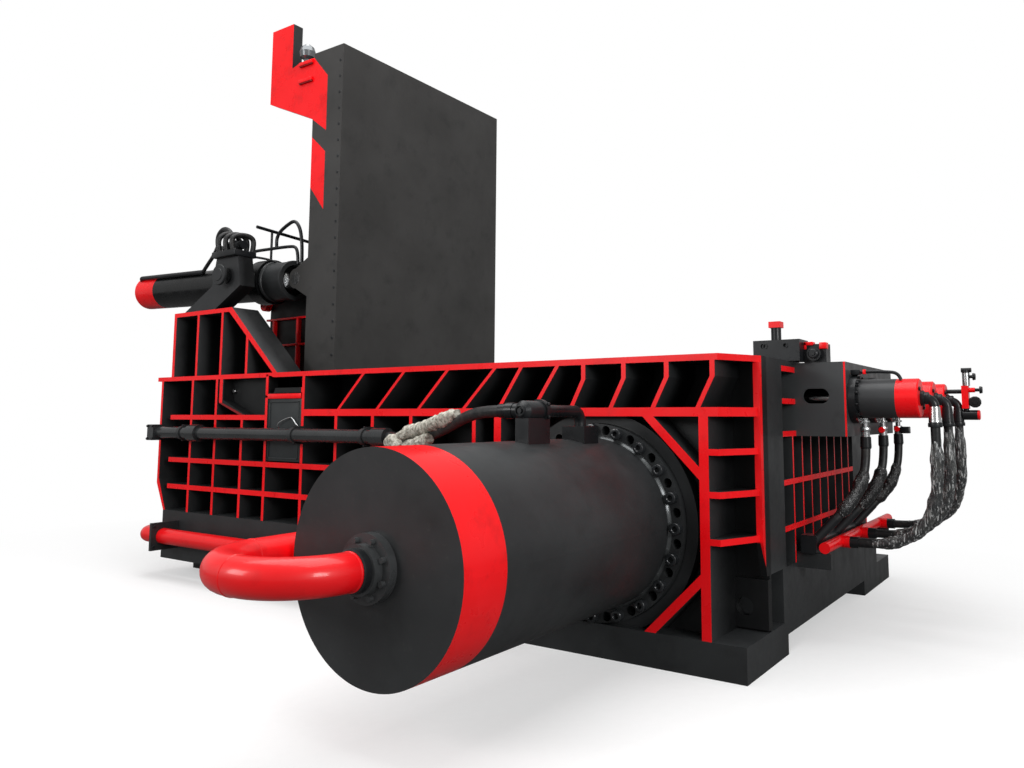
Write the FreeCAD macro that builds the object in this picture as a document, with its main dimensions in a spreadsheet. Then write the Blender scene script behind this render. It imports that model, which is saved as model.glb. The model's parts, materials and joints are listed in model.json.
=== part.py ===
import FreeCAD, Part
import Sketcher
import math
import os
from types import SimpleNamespace

V = FreeCAD.Vector
document = FreeCAD.newDocument("recycling_baler")

# A scrap baler. X runs along the machine towards its locking end, with 0 on the axis of the
# main cylinder. Y runs across it, away from that cylinder, with 0 over the middle of the near
# foot. Z is up from the floor.
DIMENSIONS = {
    # side walls: ribs stand out from a back plate, their edges in one plane at front_y
    "front_y": -360, "rib_reach": 405, "wall_plate": 30, "rib_plate": 32,
    "left_x": -4970, "press_left": -1000, "right_x": 1012, "deck_overhang": 68,
    "deck_z": 1875, "deck_plate": 40, "band_z": 1555, "band_plate": 55, "band_left": -2843,
    "corner_x": 868, "corner_reach": 347, "end_plate": 40, "base_left": -4840,
    "bar_left": -4790, "bar_height": 44, "upper_bar_z": 1507, "middle_bar_z": 1102,
    "lower_bar_z": 850, "panel_bar_z": 1740, "panel_deep": 300, "panel_low": 1116,
    "rib_a": -4445, "rib_b": -4063, "rib_c": -3667, "rib_d": -3328, "rib_e": -2843,
    "rib_f": -2430, "rib_g": -2010, "rib_h": -1600,
    "column_inner": 741, "column_width": 61, "upper_rung_z": 1309, "middle_rung_z": 1060,
    "lower_rung_z": 788, "rung_plate": 38, "brace_width": 58, "brace_run": 300,
    "long_slant_start": -2420, "long_slant_pitch": 441, "long_slant_lean": 280,
    "slant_start": -777, "slant_pitch": 300, "slant_lean": 190, "slant_kink": 94,
    # base
    "foot_z": 205, "foot_width": 735, "skid_z": 150, "skid_y": -15, "base_z": 600,
    "far_foot_lap": 45, "far_foot_reach": 480, "end_base_z": 540, "end_base_under": 123,
    "end_base_near": 298, "cross_width": 300, "mid_cross_x": -2600,
    "floor_z": 250, "lifting_hole_r": 55, "lifting_x": 862, "lifting_z": 345,
    "hole_pad": 30, "hole_pad_low": 219, "hole_pad_high": 516, "hole_pad_left": 765,
    # chamber and right end
    "lid_gap": 15, "liner": 40, "channel_gap": 15, "ceiling_z": 1450,
    "end_rib_near": 193, "end_rib_far": 154, "end_rib_plate": 22, "end_bar_upper": 1090,
    "end_bar_lower": 795, "end_bar_height": 36, "end_column_y": 369, "end_back_x": 680,
    # lid and its hinge
    "hinge_x": -3300, "hinge_z": 1760, "hinge_r": 80, "lid_width": 2340, "lid_reach": 3235,
    "lid_root": 80, "lid_front": 310, "lid_back": 102, "lid_end_gap": 25, "bearing_half": 130,
    "lid_side_beam": 200, "lid_rib": 40, "lid_pocket": 200, "lid_first_pocket": 200,
    "bearing_deep": 105, "shaft_hole_r": 90,
    "roof_right": -3470, "roof_plate": 60, "roof_left": -4790,
    # lid cylinders and towers
    "trunnion_x": -4093, "trunnion_z": 2822, "trunnion_r": 75, "lid_rod_y": 190,
    "lug_stand": 170, "lug_height": 1044, "lug_r": 95, "lug_plate": 35, "eye_gap": 5,
    "eye_width": 120, "eye_r": 100, "eye_pin_r": 60, "lug_foot": 185,
    "lid_barrel_r": 185, "lid_bore_r": 140, "lid_rod_r": 90, "lid_tail": 2170,
    "lid_nose_gap": 200, "lid_gland": 80, "lid_piston": 150, "lid_piston_back": 1500,
    "collar_r": 222, "collar_half": 85, "neck_height": 150,
    "tower_plate": 160, "tower_gap": 315, "tower_side_z": 2499, "tower_side_left": -4808,
    "tower_side_right": -3884, "tower_toe": -3200, "tower_side_deep": 278,
    "tower_rib_a": -4404, "tower_rib_b": -4023, "tower_rib_c": -3637, "tower_edge": 40,
    "head_right": 206, "head_right_drop": 106, "head_top_right": 157, "head_top_rise": 178,
    "head_top_left": 175, "head_left_rise": 192, "head_left": 237, "head_left_drop": 82,
    "head_toe": 200, "inner_toe_left": 560, "inner_toe_right": 420, "inner_foot_left": 620,
    "inner_foot_right": 480,
    # hook at the lid's free end, drawn open
    "hook_plate": 110, "hook_out": 655, "hook_tip_z": 5390, "hook_arm": 325,
    "hook_notch_z": 4925, "hook_low_z": 4625, "hook_root_low_z": 4340, "hook_throat": 110,
    "buffer_r": 78,
    "buffer_out": 175, "buffer_lift": 118,
    # main cylinder and press platen
    "axis_z": 830, "cap_y": -2250, "barrel_r": 532, "main_flange_r": 624,
    "main_flange_y": -340, "main_flange": 150, "bolt_circle": 586, "bolt_head_r": 36,
    "bolt_head": 48, "bolt_r": 26, "bolt_hole_gap": 1, "free_hole_r": 30, "bolt_count": 20,
    "main_bore_r": 400, "cap_wall": 120, "gland_length": 240, "main_rod_r": 300,
    "main_piston": 250, "piston_start": 20, "thrust_plate": 60, "thrust_hole_r": 310,
    "boss_r": 700, "boss_gap": 3, "boss_height": 100, "platen_width": 1090,
    "platen_height": 1120, "platen_deep": 200, "platen_low": 265, "platen_proud": 10,
    "port_gap": 5, "port_flange_r": 155, "port_flange": 45, "port_bolt_circle": 125,
    "port_bolt_r": 13, "port_bolt_head": 22, "port_bolts": 8, "port_collar_r": 112,
    "port_collar": 45,
    # side cylinder and pusher
    "pusher_face": -3000, "pusher_length": 1300, "pusher_wall": 40, "pusher_gap": 5,
    "pusher_low": 255, "pusher_top": 1390, "side_axis_y": 1260, "side_barrel_r": 220,
    "side_bore_r": 160, "side_rod_r": 110, "side_nose_x": -3900, "side_tail_x": -6700,
    "side_flange_r": 330, "side_flange": 60, "side_piston": 110, "side_gland": 120,
    # lock bolts, their housing and cylinders
    "lock_z": 1620, "lock_edge": 180, "lock_r": 65, "lock_recess": 20,
    "lock_end_x": 1300, "lock_rod_r": 55, "lock_barrel_r": 129, "lock_bore_r": 95,
    "lock_flange_r": 165, "lock_flange": 50, "lock_tail_x": 1778, "lock_piston": 60,
    "socket_deep": 215, "socket_gap": 3,
    "housing_from_near": 575, "housing_from_far": 355, "housing_low": 1369, "housing_top": 1865,
    "housing_right": 1350, "housing_wall": 30, "slot_left": 1062, "slot_right": 1240,
    "slot_half": 50, "slot_z": 1638,
    # discharge door on the far side
    "door_gap": 10, "door_plate": 190, "door_half": 640, "door_height": 1260,
    "door_travel": 1200, "rail": 60, "door_barrel_r": 92, "door_rod_r": 45,
    "door_bore_r": 70, "door_barrel_left": -3560, "door_barrel_right": -1990,
    "door_post": 160, "door_axis_z": 880, "door_piston": 80, "door_foot_in": 300,
    # pipes
    "feed_r": 93, "feed_bend": 362, "feed_lead": 40, "feed_drop_bend": 175,
    "reducer_z": 640, "reducer": 60, "base_pipe_r": 71, "base_pipe_y": -510,
    "base_pipe_z": 390, "base_pipe_left": -4915, "base_pipe_bend": 150, "side_port_x": -6480,
    "side_port_r": 95, "side_port": 50, "bracket_first": -4590, "bracket_pitch": 1550,
    "bracket_plate": 30, "bracket_reach": 267, "bracket_height": 250,
    "wall_pipe_r": 55, "wall_pipe_y": -435, "wall_pipe_z": 1340, "wall_pipe_left": -4875,
    "wall_pipe_right": -1760, "elbow_block": 100, "elbow_height": 150, "saddle": 40,
    "pipe_union_x": -4247, "pipe_union": 142, "pipe_union_r": 78, "wall_elbow_r": 42,
    "wall_elbow_lead": 70, "wall_elbow_bend": 120,
    # hoses of the lock cylinders and the pipes that they meet
    "hose_r": 30, "cap_elbow_out": 78, "cap_elbow_bend": 55, "cap_elbow_down": 70,
    "neck_in": 74, "neck_r": 18, "nut_top": 60, "nut_height": 66, "nut_r": 28,
    "ferrule_r": 32, "ferrule_reach": 208, "rear_pipe_x": 1195, "rear_pipe_z": 645,
    "rear_pipe_r": 36, "rear_pipe_near": 590, "rear_pipe_far": 2520, "rear_stub": 75,
    "rear_stub_r": 40, "rear_ferrule": 55, "front_pipe_x": 1100, "front_pipe_z": 668,
    "front_pipe_r": 45, "front_pipe_far": 1800, "manifold_block": 100,
    "manifold_block_high": 116, "manifold_reach": 223, "manifold_deep": 100,
    "manifold_far_in": 120,
    # valves
    "wall_hose_r": 35, "top_valve_x": 85, "top_valve_near": -1255, "top_valve_far": -1035,
    "top_valve_z": 1530, "top_valve_r": 56, "top_port_y": -1200, "top_port_r": 42,
    "top_seat": 90, "top_pipe_r": 35, "top_pipe_drop_y": -640, "top_socket": 160,
    "top_socket_z": 1440, "top_pipe_bend": 70,
    "deck_valve_left": 760, "deck_valve": 322, "deck_valve_near": 550,
    "deck_valve_deep": 200, "deck_valve_high": 147, "deck_post_x": 912, "deck_post_r": 34,
    "deck_post": 86, "deck_cap": 42, "deck_recess_r": 17, "deck_recess": 12,
    "side_valve": 150, "side_valve_deep": 100, "side_valve_high": 125, "side_disc_r": 47,
    "end_valve_gap": 110, "end_valve": 46, "end_valve_half": 40, "end_valve_low": 61,
    "end_valve_high": 112, "end_post_r": 26, "end_post": 118, "end_disc_r": 38,
    "end_pilot_r": 37, "end_pilot": 100, "end_pilot_drop": 106,
    # stiffener in the open bay left of the hinge
    "bay_left": -4018, "bay_edge": 61, "bay_low": 1616, "bay_toe_left": -3710,
    "bay_toe_right": -3620, "bay_deep": 130, "bay_skin": 30,
    # fits
    "running_fit": 0.05, "round_gap": 0.3,
}

sheet = document.addObject("Spreadsheet::Sheet", "Dims")
for row, (name, value) in enumerate(DIMENSIONS.items(), start=1):
    sheet.set(f"A{row}", name)
    sheet.set(f"B{row}", str(value))
    sheet.setAlias(f"B{row}", name)
document.recompute()


class Size:
    """A length or angle together with the sheet formula that it follows."""

    def __init__(self, formula, worth):
        self.formula = formula
        self.worth = float(worth)

    def __float__(self):
        return self.worth

    def __add__(self, other):
        return Size(f"({self.formula} + {formula(other)})", self.worth + float(other))

    def __radd__(self, other):
        return Size(f"({formula(other)} + {self.formula})", float(other) + self.worth)

    def __sub__(self, other):
        return Size(f"({self.formula} - {formula(other)})", self.worth - float(other))

    def __rsub__(self, other):
        return Size(f"({formula(other)} - {self.formula})", float(other) - self.worth)

    def __mul__(self, other):
        return Size(f"({self.formula} * {formula(other)})", self.worth * float(other))

    __rmul__ = __mul__

    def __truediv__(self, other):
        return Size(f"({self.formula} / {formula(other)})", self.worth / float(other))

    def __neg__(self):
        return Size(f"(0 - {self.formula})", -self.worth)

    def __lt__(self, other):
        return self.worth < float(other)


def formula(value):
    return value.formula if isinstance(value, Size) else repr(float(value))


d = SimpleNamespace(**{name: Size(f"Dims.{name}", sheet.get(name)) for name in DIMENSIONS})
nodes = []


# ---- building blocks ----

def place(thing, x, y, z):
    for axis, value in zip("xyz", (x, y, z)):
        thing.setExpression(f"Placement.Base.{axis}", formula(value))
    return thing


def block(x, y, z):
    """A box between the low and high end of each pair."""
    thing = document.addObject("Part::Box", "Block")
    for side, (low, high) in zip(("Length", "Width", "Height"), (x, y, z)):
        thing.setExpression(side, formula(high - low))
    return place(thing, x[0], y[0], z[0])


BAR_TURNS = {
    "X": FreeCAD.Rotation(V(0, 1, 0), 90),
    "Y": FreeCAD.Rotation(V(1, 0, 0), -90),
    "Z": FreeCAD.Rotation(),
}


def bar(axis, span, centre, radius):
    """A round bar from span[0] to span[1] along axis, centred on the other two places."""
    thing = document.addObject("Part::Cylinder", "Bar")
    thing.setExpression("Radius", formula(radius))
    thing.setExpression("Height", formula(span[1] - span[0]))
    thing.Placement = FreeCAD.Placement(V(), BAR_TURNS[axis])
    where = list(centre)
    where.insert("XYZ".index(axis), span[0])
    return place(thing, *where)


def outline_sketch(body, plane, corners):
    """A closed outline on one of the body's own planes, each corner held by two sizes."""
    sketch = body.newObject("Sketcher::SketchObject", "Outline")
    support = next(f for f in body.Origin.OriginFeatures if f.Role == f"{plane}_Plane")
    sketch.AttachmentSupport = [(support, "")]
    sketch.MapMode = "FlatFace"
    points = [V(float(a), float(b), 0) for a, b in corners]
    for here, there in zip(points, points[1:] + points[:1]):
        sketch.addGeometry(Part.LineSegment(here, there))
    for index in range(len(points)):
        following = (index + 1) % len(points)
        sketch.addConstraint(Sketcher.Constraint("Coincident", index, 2, following, 1))
    for index, corner in enumerate(corners):
        for kind, value in zip(("DistanceX", "DistanceY"), corner):
            rule = Sketcher.Constraint(kind, -1, 1, index, 1, float(value))
            number = sketch.addConstraint(rule)
            sketch.setExpression(f"Constraints[{number}]", formula(value))
    return sketch


def plate(plane, corners, start, thickness):
    """An outline in plane XY, XZ or YZ, made thick from start towards the third axis."""
    body = document.addObject("PartDesign::Body", "Plate")
    sketch = outline_sketch(body, plane, corners)
    pad = body.newObject("PartDesign::Pad", "Thickness")
    pad.Profile = sketch
    pad.setExpression("Length", formula(thickness))
    pad.Reversed = plane == "XZ"
    sketch.Visibility = False
    shift = {"XY": (0, 0, start), "XZ": (0, start, 0), "YZ": (start, 0, 0)}[plane]
    return place(body, *shift)


TURNED_TURNS = {
    "X": FreeCAD.Rotation(V(0, 0, 1), -90),
    "Y": FreeCAD.Rotation(),
    "Z": FreeCAD.Rotation(V(1, 0, 0), 90),
}


def turned(axis, profile, origin):
    """A solid of revolution: profile is (along, radius) pairs, counted from origin."""
    body = document.addObject("PartDesign::Body", "Turned")
    sketch = outline_sketch(body, "XY", [(radius, along) for along, radius in profile])
    revolution = body.newObject("PartDesign::Revolution", "Turn")
    revolution.Profile = sketch
    revolution.ReferenceAxis = (sketch, ["V_Axis"])
    revolution.Angle = 360
    body.Placement = FreeCAD.Placement(V(), TURNED_TURNS[axis])
    return place(body, *origin)


def join(things):
    fused = document.addObject("Part::MultiFuse", "Join")
    fused.Shapes = list(things)
    fused.Refine = True
    return fused


def cut(base, tools):
    result = document.addObject("Part::Cut", "Cut")
    result.Base = base
    result.Tool = join(tools) if len(tools) > 1 else tools[0]
    result.Refine = True
    return result


def group(things):
    gathered = document.addObject("Part::Compound", "Group")
    gathered.Links = list(things)
    return gathered


def node(label, thing):
    thing.Label = label
    nodes.append(thing)
    return thing


def ring_places(count, radius, centre, first=0.0):
    """Places on a circle round an axis along Y or X: (across, up) from its centre."""
    for index in range(count):
        angle = math.radians(first + 360.0 * index / count)
        yield centre[0] + radius * math.cos(angle), centre[1] + radius * math.sin(angle)


def bent_pipe(points, radius, bends=None):
    """A pipe along straight runs and tangent arcs. With no bends given, each arc is as large
    as 0.45 of its shorter run allows."""
    points = [V(*(float(value) for value in point)) for point in points]
    edges, radii, start = [], [], points[0]
    for index, (before, corner, after) in enumerate(zip(points, points[1:], points[2:])):
        back, ahead = (before - corner).normalize(), (after - corner).normalize()
        half_turn = (math.pi - back.getAngle(ahead)) / 2
        shorter = min((before - corner).Length, (after - corner).Length)
        arc_radius = 0.45 * shorter / math.tan(half_turn)
        if bends:
            arc_radius = float(bends[index])
        reach = arc_radius * math.tan(half_turn)
        bow = (back + ahead).normalize()
        middle = corner + bow * (arc_radius / math.cos(half_turn) - arc_radius)
        entry, leave = corner + back * reach, corner + ahead * reach
        if (entry - start).Length > 0.01:
            edges.append(Part.LineSegment(start, entry).toShape())
        edges.append(Part.Arc(entry, middle, leave).toShape())
        radii.append(arc_radius)
        start = leave
    if (points[-1] - start).Length > 0.01:
        edges.append(Part.LineSegment(start, points[-1]).toShape())
    path = Part.Wire(edges)
    circle = Part.Circle(points[0], points[1] - points[0], float(radius)).toShape()
    solid = path.makePipeShell([Part.Wire(circle)], True, False)
    length = sum(edge.Length for edge in edges)
    ratio = solid.Volume / (math.pi * float(radius) ** 2 * length)
    least = min(radii, default=0) / (2 * float(radius))
    print(f"pipe r {float(radius):.0f} length {length:.0f} least bend {least:.1f} dia {ratio:.4f}")
    pipe = document.addObject("Part::Feature", "Pipe")
    pipe.Shape = solid
    return pipe


# ---- places that several pieces share ----

near_y = d.front_y + d.rib_reach + d.wall_plate
far_y = near_y + 2 * d.lid_gap + d.lid_width
back_y = far_y + d.wall_plate + d.rib_reach
middle_y = (near_y + far_y) / 2
lid_near = near_y + d.lid_gap
lid_far = lid_near + d.lid_width
lid_top = d.hinge_z + d.lid_reach
lid_back_x = d.hinge_x - d.lid_back
lid_front_x = d.hinge_x + d.lid_front
beam_left = d.hinge_x + d.lid_reach + d.lid_end_gap
under_deck = d.deck_z - d.deck_plate
under_band = d.band_z - d.band_plate
platen_top = d.platen_low + d.platen_height
port_half = d.platen_width / 2 + d.port_gap
flange_back_y = d.main_flange_y + d.main_flange
lug_x = lid_back_x - d.lug_stand
lug_z = d.hinge_z + d.lug_height
far_rod_y = 2 * middle_y - d.lid_rod_y
channel_half = d.platen_width / 2 + d.channel_gap
end_base_x = channel_half + d.liner
far_foot_y = far_y - d.far_foot_lap
far_post_y = 2 * middle_y - d.end_column_y
housing_near = near_y + d.housing_from_near
housing_far = far_y - d.housing_from_far
lock_pitch = (housing_far - housing_near - 2 * d.lock_edge) / 2
lock_places = [housing_near + d.lock_edge + lock_pitch * index for index in range(3)]
door_y = back_y + d.door_gap


def across(side, outer, inner):
    """The Y range between two depths behind a side wall's rib edges."""
    if side == "near":
        return d.front_y + outer, d.front_y + inner
    return back_y - inner, back_y - outer


def between_walls(side, y_range):
    """The same Y range, or its mirror image for the far side."""
    if side == "near":
        return y_range
    return 2 * middle_y - y_range[1], 2 * middle_y - y_range[0]


# ---- base ----

def base_frame():
    foot_y = (d.front_y, d.front_y + d.foot_width)
    press_x = (d.press_left, d.right_x)
    left_x = (d.base_left, d.press_left)
    pieces = [block(press_x, foot_y, (0 * d.foot_z, d.foot_z))]
    pieces.append(block(press_x, (far_foot_y, back_y + d.far_foot_reach), (0 * d.foot_z, d.foot_z)))
    for side in ("near", "far"):
        skid_y = between_walls(side, (d.skid_y, foot_y[1]))
        pieces.append(block(left_x, skid_y, (0 * d.skid_z, d.skid_z)))
        beam_y = across(side, 0 * d.rib_reach, d.rib_reach + d.wall_plate)
        pieces.append(block(left_x, beam_y, (d.skid_z, d.base_z)))
    reach_y = (d.front_y + d.foot_width, far_foot_y)
    for low in (d.base_left, d.mid_cross_x, d.press_left):
        cross_x = (low, low + d.cross_width)
        pieces.append(block(cross_x, reach_y, (d.end_base_under, d.foot_z)))
    end_x = (end_base_x, d.right_x)
    pieces.append(block(end_x, reach_y, (d.end_base_under, d.foot_z)))
    pieces.append(block((d.end_back_x, d.right_x), (d.end_base_near, far_y),
                        (d.foot_z, d.end_base_z)))
    pieces.append(block((d.column_inner + d.column_width, d.right_x),
                        (far_y + d.wall_plate, back_y), (d.foot_z, d.end_base_z)))
    return node("base_frame", join(pieces))


def chamber_floor():
    span = (d.base_left + d.end_plate, end_base_x)
    return node("chamber_floor", block(span, (near_y, far_y), (d.foot_z, d.floor_z)))


# ---- side walls ----

def corner_plan(side, left, inner_depth):
    """The plan of a flange or rung that follows the chamfered corner at the right end."""
    places = [(left, 0 * d.rib_reach), (d.corner_x, 0 * d.rib_reach),
              (d.right_x, d.corner_reach), (d.right_x, inner_depth), (left, inner_depth)]
    if side == "near":
        return [(x, d.front_y + depth) for x, depth in places]
    return [(x, back_y - depth) for x, depth in reversed(places)]


def slanted_ribs(side):
    """Leaning ribs between the two flanges: long ones on the left, kinked ones on the right."""
    reach = across(side, 0 * d.rib_reach, d.rib_reach)
    width = d.rib_plate
    for index in range(4):
        low = d.long_slant_start + d.long_slant_pitch * index
        top = low + d.long_slant_lean
        corners = [(low, d.band_z), (low + width, d.band_z), (top + width, under_deck),
                   (top, under_deck)]
        yield plate("XZ", corners, reach[0], reach[1] - reach[0])
    for index in range(6):
        low = d.slant_start + d.slant_pitch * index
        if index < 2:
            top = low + d.slant_lean
            corners = [(low, d.band_z), (low + width, d.band_z), (top + width, under_deck),
                       (top, under_deck)]
        else:
            top = low + d.slant_lean / 2
            kink_z = under_deck - d.slant_kink
            corners = [(low, d.band_z), (low + width, d.band_z), (top + width, kink_z),
                       (top + width, under_deck), (top, under_deck), (top, kink_z)]
        yield plate("XZ", corners, reach[0], reach[1] - reach[0])


def braces(reach):
    """Four diagonal bars round the ram port, between the press columns and the flanges."""
    for hand in (-1, 1):
        foot_x, head_x = hand * d.column_inner, hand * (d.column_inner - d.brace_run)
        wide = hand * d.brace_width * 1.3
        top = [(head_x, under_band), (foot_x, under_band - d.brace_run),
               (foot_x, under_band - d.brace_run - d.brace_width * 1.3),
               (head_x - wide, under_band)]
        low = [(head_x, d.foot_z), (foot_x, d.foot_z + d.brace_run),
               (foot_x, d.foot_z + d.brace_run + d.brace_width * 1.3),
               (head_x - wide, d.foot_z)]
        for corners in (top, low):
            yield plate("XZ", corners, reach[0], reach[1] - reach[0])


def side_wall(side):
    """Back plate, flanges, ribs and press columns of one side, with the hole for the ram on
    the near side and for the bale on the far side."""
    reach = across(side, 0 * d.rib_reach, d.rib_reach)
    skin = across(side, d.rib_reach, d.rib_reach + d.wall_plate)
    full = across(side, 0 * d.rib_reach, d.rib_reach + d.wall_plate)
    pieces = [block((d.left_x, d.press_left), skin, (d.base_z, under_deck)),
              block((d.press_left, d.right_x), skin, (d.foot_z, under_deck))]
    deck = corner_plan(side, d.left_x - d.deck_overhang, d.rib_reach + d.wall_plate)
    pieces.append(plate("XY", deck, under_deck, d.deck_plate))
    band = corner_plan(side, d.band_left, d.rib_reach)
    pieces.append(plate("XY", band, under_band, d.band_plate))
    end_lean = d.base_left - d.left_x
    end = [(d.left_x, under_deck), (d.left_x, d.lower_bar_z),
           (d.left_x + end_lean, d.base_z), (d.left_x + end_lean + d.rib_plate, d.base_z),
           (d.left_x + d.rib_plate, d.lower_bar_z + d.bar_height),
           (d.left_x + d.rib_plate, under_deck)]
    pieces.append(plate("XZ", end, full[0], full[1] - full[0]))
    half = d.rib_plate / 2
    for place_x, top in ((d.rib_a, under_deck), (d.rib_b, under_deck),
                         (d.rib_c, d.upper_bar_z), (d.rib_d, under_deck),
                         (d.rib_e, under_deck), (d.rib_f, under_band),
                         (d.rib_g, under_band), (d.rib_h, under_band)):
        pieces.append(block((place_x - half, place_x + half), reach, (d.base_z, top)))
    bars = ((d.upper_bar_z, d.bar_left, d.rib_d), (d.middle_bar_z, d.bar_left, d.press_left),
            (d.lower_bar_z, d.bar_left, d.press_left), (d.panel_bar_z, d.rib_d, d.rib_e))
    for top, left, right in bars:
        pieces.append(block((left, right), reach, (top - d.bar_height, top)))
    panel_y = across(side, d.rib_reach - d.panel_deep, d.rib_reach)
    pieces.append(block((d.rib_d, d.rib_e), panel_y,
                        (d.panel_low, d.panel_bar_z - d.bar_height)))
    column_x = (d.column_inner, d.column_inner + d.column_width)
    for low, high in (column_x, (-column_x[1], -column_x[0]),
                      (d.press_left, d.press_left + d.rib_plate)):
        pieces.append(block((low, high), reach, (d.foot_z, under_band)))
    for top in (d.upper_rung_z, d.middle_rung_z, d.lower_rung_z):
        rung = corner_plan(side, column_x[1], d.rib_reach)
        pieces.append(plate("XY", rung, top - d.rung_plate, d.rung_plate))
        pieces.append(block((d.press_left, -column_x[1]), reach, (top - d.rung_plate, top)))
    post_front = d.corner_reach - d.end_plate
    post_y = across(side, post_front, d.rib_reach)
    post = [(post_y[0], d.end_base_z), (post_y[1], d.end_base_z), (post_y[1], under_deck),
            (post_y[0], under_deck)]
    lean = d.rib_reach - post_front - d.end_plate
    if side == "near":
        post = [(post_y[0], under_deck), (post_y[0], d.lower_rung_z - d.bar_height),
                (post_y[0] + lean, d.end_base_z), (post_y[1], d.end_base_z),
                (post_y[1], under_deck)]
    pieces.append(plate("YZ", post, d.right_x - d.end_plate, d.end_plate))
    pieces.extend(slanted_ribs(side))
    if side == "near":
        pieces.extend(braces(reach))
        thrust_y = (flange_back_y, flange_back_y + d.thrust_plate)
        pieces.append(block((-d.column_inner, d.column_inner), thrust_y,
                            (d.foot_z, under_band)))
        boss = bar("Y", (flange_back_y - d.boss_height, flange_back_y), (0, d.axis_z),
                   d.boss_r)
        trim = block((-d.column_inner, d.column_inner), (d.front_y, flange_back_y),
                     (d.foot_z, under_band))
        ring = document.addObject("Part::Common", "Ring")
        ring.Base = boss
        ring.Tool = trim
        pieces.append(ring)
        pad_y = (near_y - d.wall_plate - d.hole_pad, near_y - d.wall_plate)
        pieces.append(block((d.hole_pad_left, d.right_x), pad_y,
                            (d.hole_pad_low, d.hole_pad_high)))
    wall = join(pieces)
    hollows = [bar("Y", full, (d.hinge_x, d.hinge_z), d.shaft_hole_r)]
    bearing_x = (d.hinge_x - d.bearing_half, d.hinge_x + d.bearing_half)
    bearing_y = across(side, d.rib_reach - d.bearing_deep, d.rib_reach)
    hollows.append(block(bearing_x, bearing_y, (d.hinge_z - d.bearing_half, under_deck)))
    if side == "near":
        hollows.append(block((-port_half, port_half),
                             (flange_back_y + d.thrust_plate, near_y),
                             (d.floor_z, platen_top + d.port_gap)))
        hollows.append(bar("Y", (d.front_y, near_y), (0, d.axis_z), d.thrust_hole_r))
        hollows.append(bar("Y", (d.front_y, flange_back_y), (0, d.axis_z),
                           d.main_flange_r + d.boss_gap))
        hollows.append(bar("Y", (near_y - d.wall_plate - d.hole_pad, near_y),
                           (d.lifting_x, d.lifting_z), d.lifting_hole_r))
    else:
        hollows.append(block((-channel_half, channel_half), full,
                             (d.floor_z, d.ceiling_z)))
    return node(f"{side}_side_wall", cut(wall, hollows))


# ---- end walls, top beam, roof ----

def left_end_wall():
    low_x = (d.base_left, d.base_left + d.end_plate)
    pieces = [block(low_x, (near_y, far_y), (d.foot_z, d.deck_z - d.roof_plate))]
    for index in range(4):
        rib_y = near_y + (far_y - near_y) * (index + 0.5) / 4
        pieces.append(block((d.left_x, d.base_left), (rib_y - d.rib_plate / 2, rib_y +
                      d.rib_plate / 2), (d.base_z, d.deck_z - d.roof_plate)))
    wall = join(pieces)
    hole = bar("X", (d.left_x, low_x[1]), (d.side_axis_y, d.axis_z),
               d.side_barrel_r + d.round_gap)
    return node("left_end_wall", cut(wall, [hole]))


def right_end_wall():
    """Upright ribs before a back plate, two lying bars and a closed post at each corner."""
    rib_x = (d.end_back_x, d.right_x)
    back = block((end_base_x, d.end_back_x), (near_y, far_y), (d.foot_z, d.ceiling_z))
    pieces = [back]
    for low, high in ((near_y, d.end_column_y), (far_post_y, far_y)):
        pieces.append(block(rib_x, (low, high), (d.end_base_z, under_deck)))
    first_rib = d.end_column_y + d.end_rib_near
    rib_pitch = (far_post_y - d.end_rib_far - first_rib) / 7
    for index in range(8):
        rib_y = first_rib + rib_pitch * index
        pieces.append(block(rib_x, (rib_y, rib_y + d.end_rib_plate),
                            (d.end_base_z, d.housing_low)))
    for top in (d.end_bar_upper, d.end_bar_lower):
        pieces.append(block(rib_x, (d.end_column_y, far_post_y),
                            (top - d.end_bar_height, top)))
    shelf_low, shelf_high = d.housing_low, under_deck
    for share in (0, 0.5, 1):
        low = shelf_low + (shelf_high - shelf_low - d.end_bar_height) * share
        for span in ((d.end_column_y, housing_near), (housing_far, far_post_y)):
            pieces.append(block(rib_x, span, (low, low + d.end_bar_height)))
    return node("right_end_wall", join(pieces))


def press_end_liner():
    liner_x = (end_base_x - d.liner, end_base_x)
    return node("press_end_liner",
                block(liner_x, (near_y, far_y), (d.floor_z, d.ceiling_z)))


def top_beam():
    """The fixed roof of the press channel, bored for the lock bolts."""
    beam = join([block((beam_left, d.end_back_x), (near_y, far_y),
                       (d.ceiling_z, under_deck)),
                 block((beam_left, d.right_x), (near_y, far_y), (under_deck, d.deck_z))])
    bores = [bar("X", (beam_left, d.end_back_x), (lock_y, d.lock_z),
                 d.lock_r + d.running_fit) for lock_y in lock_places]
    return node("top_beam", cut(beam, bores))


def housing_roof():
    """The plate over the side pusher, with the cross beam in front of the lid's hinge."""
    roof = block((d.roof_left, d.roof_right), (near_y, far_y),
                 (d.deck_z - d.roof_plate, d.deck_z))
    beam = block((d.roof_right - d.door_post, d.roof_right), (near_y, far_y),
                 (d.ceiling_z, d.deck_z - d.roof_plate))
    return node("housing_roof", join([roof, beam]))


# ---- towers of the lid cylinders ----

def tower_head(low_z, toe_left, toe_right, y_range):
    """A leaning bearing plate, bored for a trunnion."""
    x, z = d.trunnion_x, d.trunnion_z
    corners = [(toe_left, low_z), (toe_right, low_z),
               (x + d.head_right, z - d.head_right_drop),
               (x + d.head_top_right, z + d.head_top_rise),
               (x - d.head_top_left, z + d.head_left_rise),
               (x - d.head_left, z - d.head_left_drop)]
    head = plate("XZ", corners, y_range[0], y_range[1] - y_range[0])
    return cut(head, [bar("Y", y_range, (x, z), d.trunnion_r + d.running_fit)])


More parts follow.
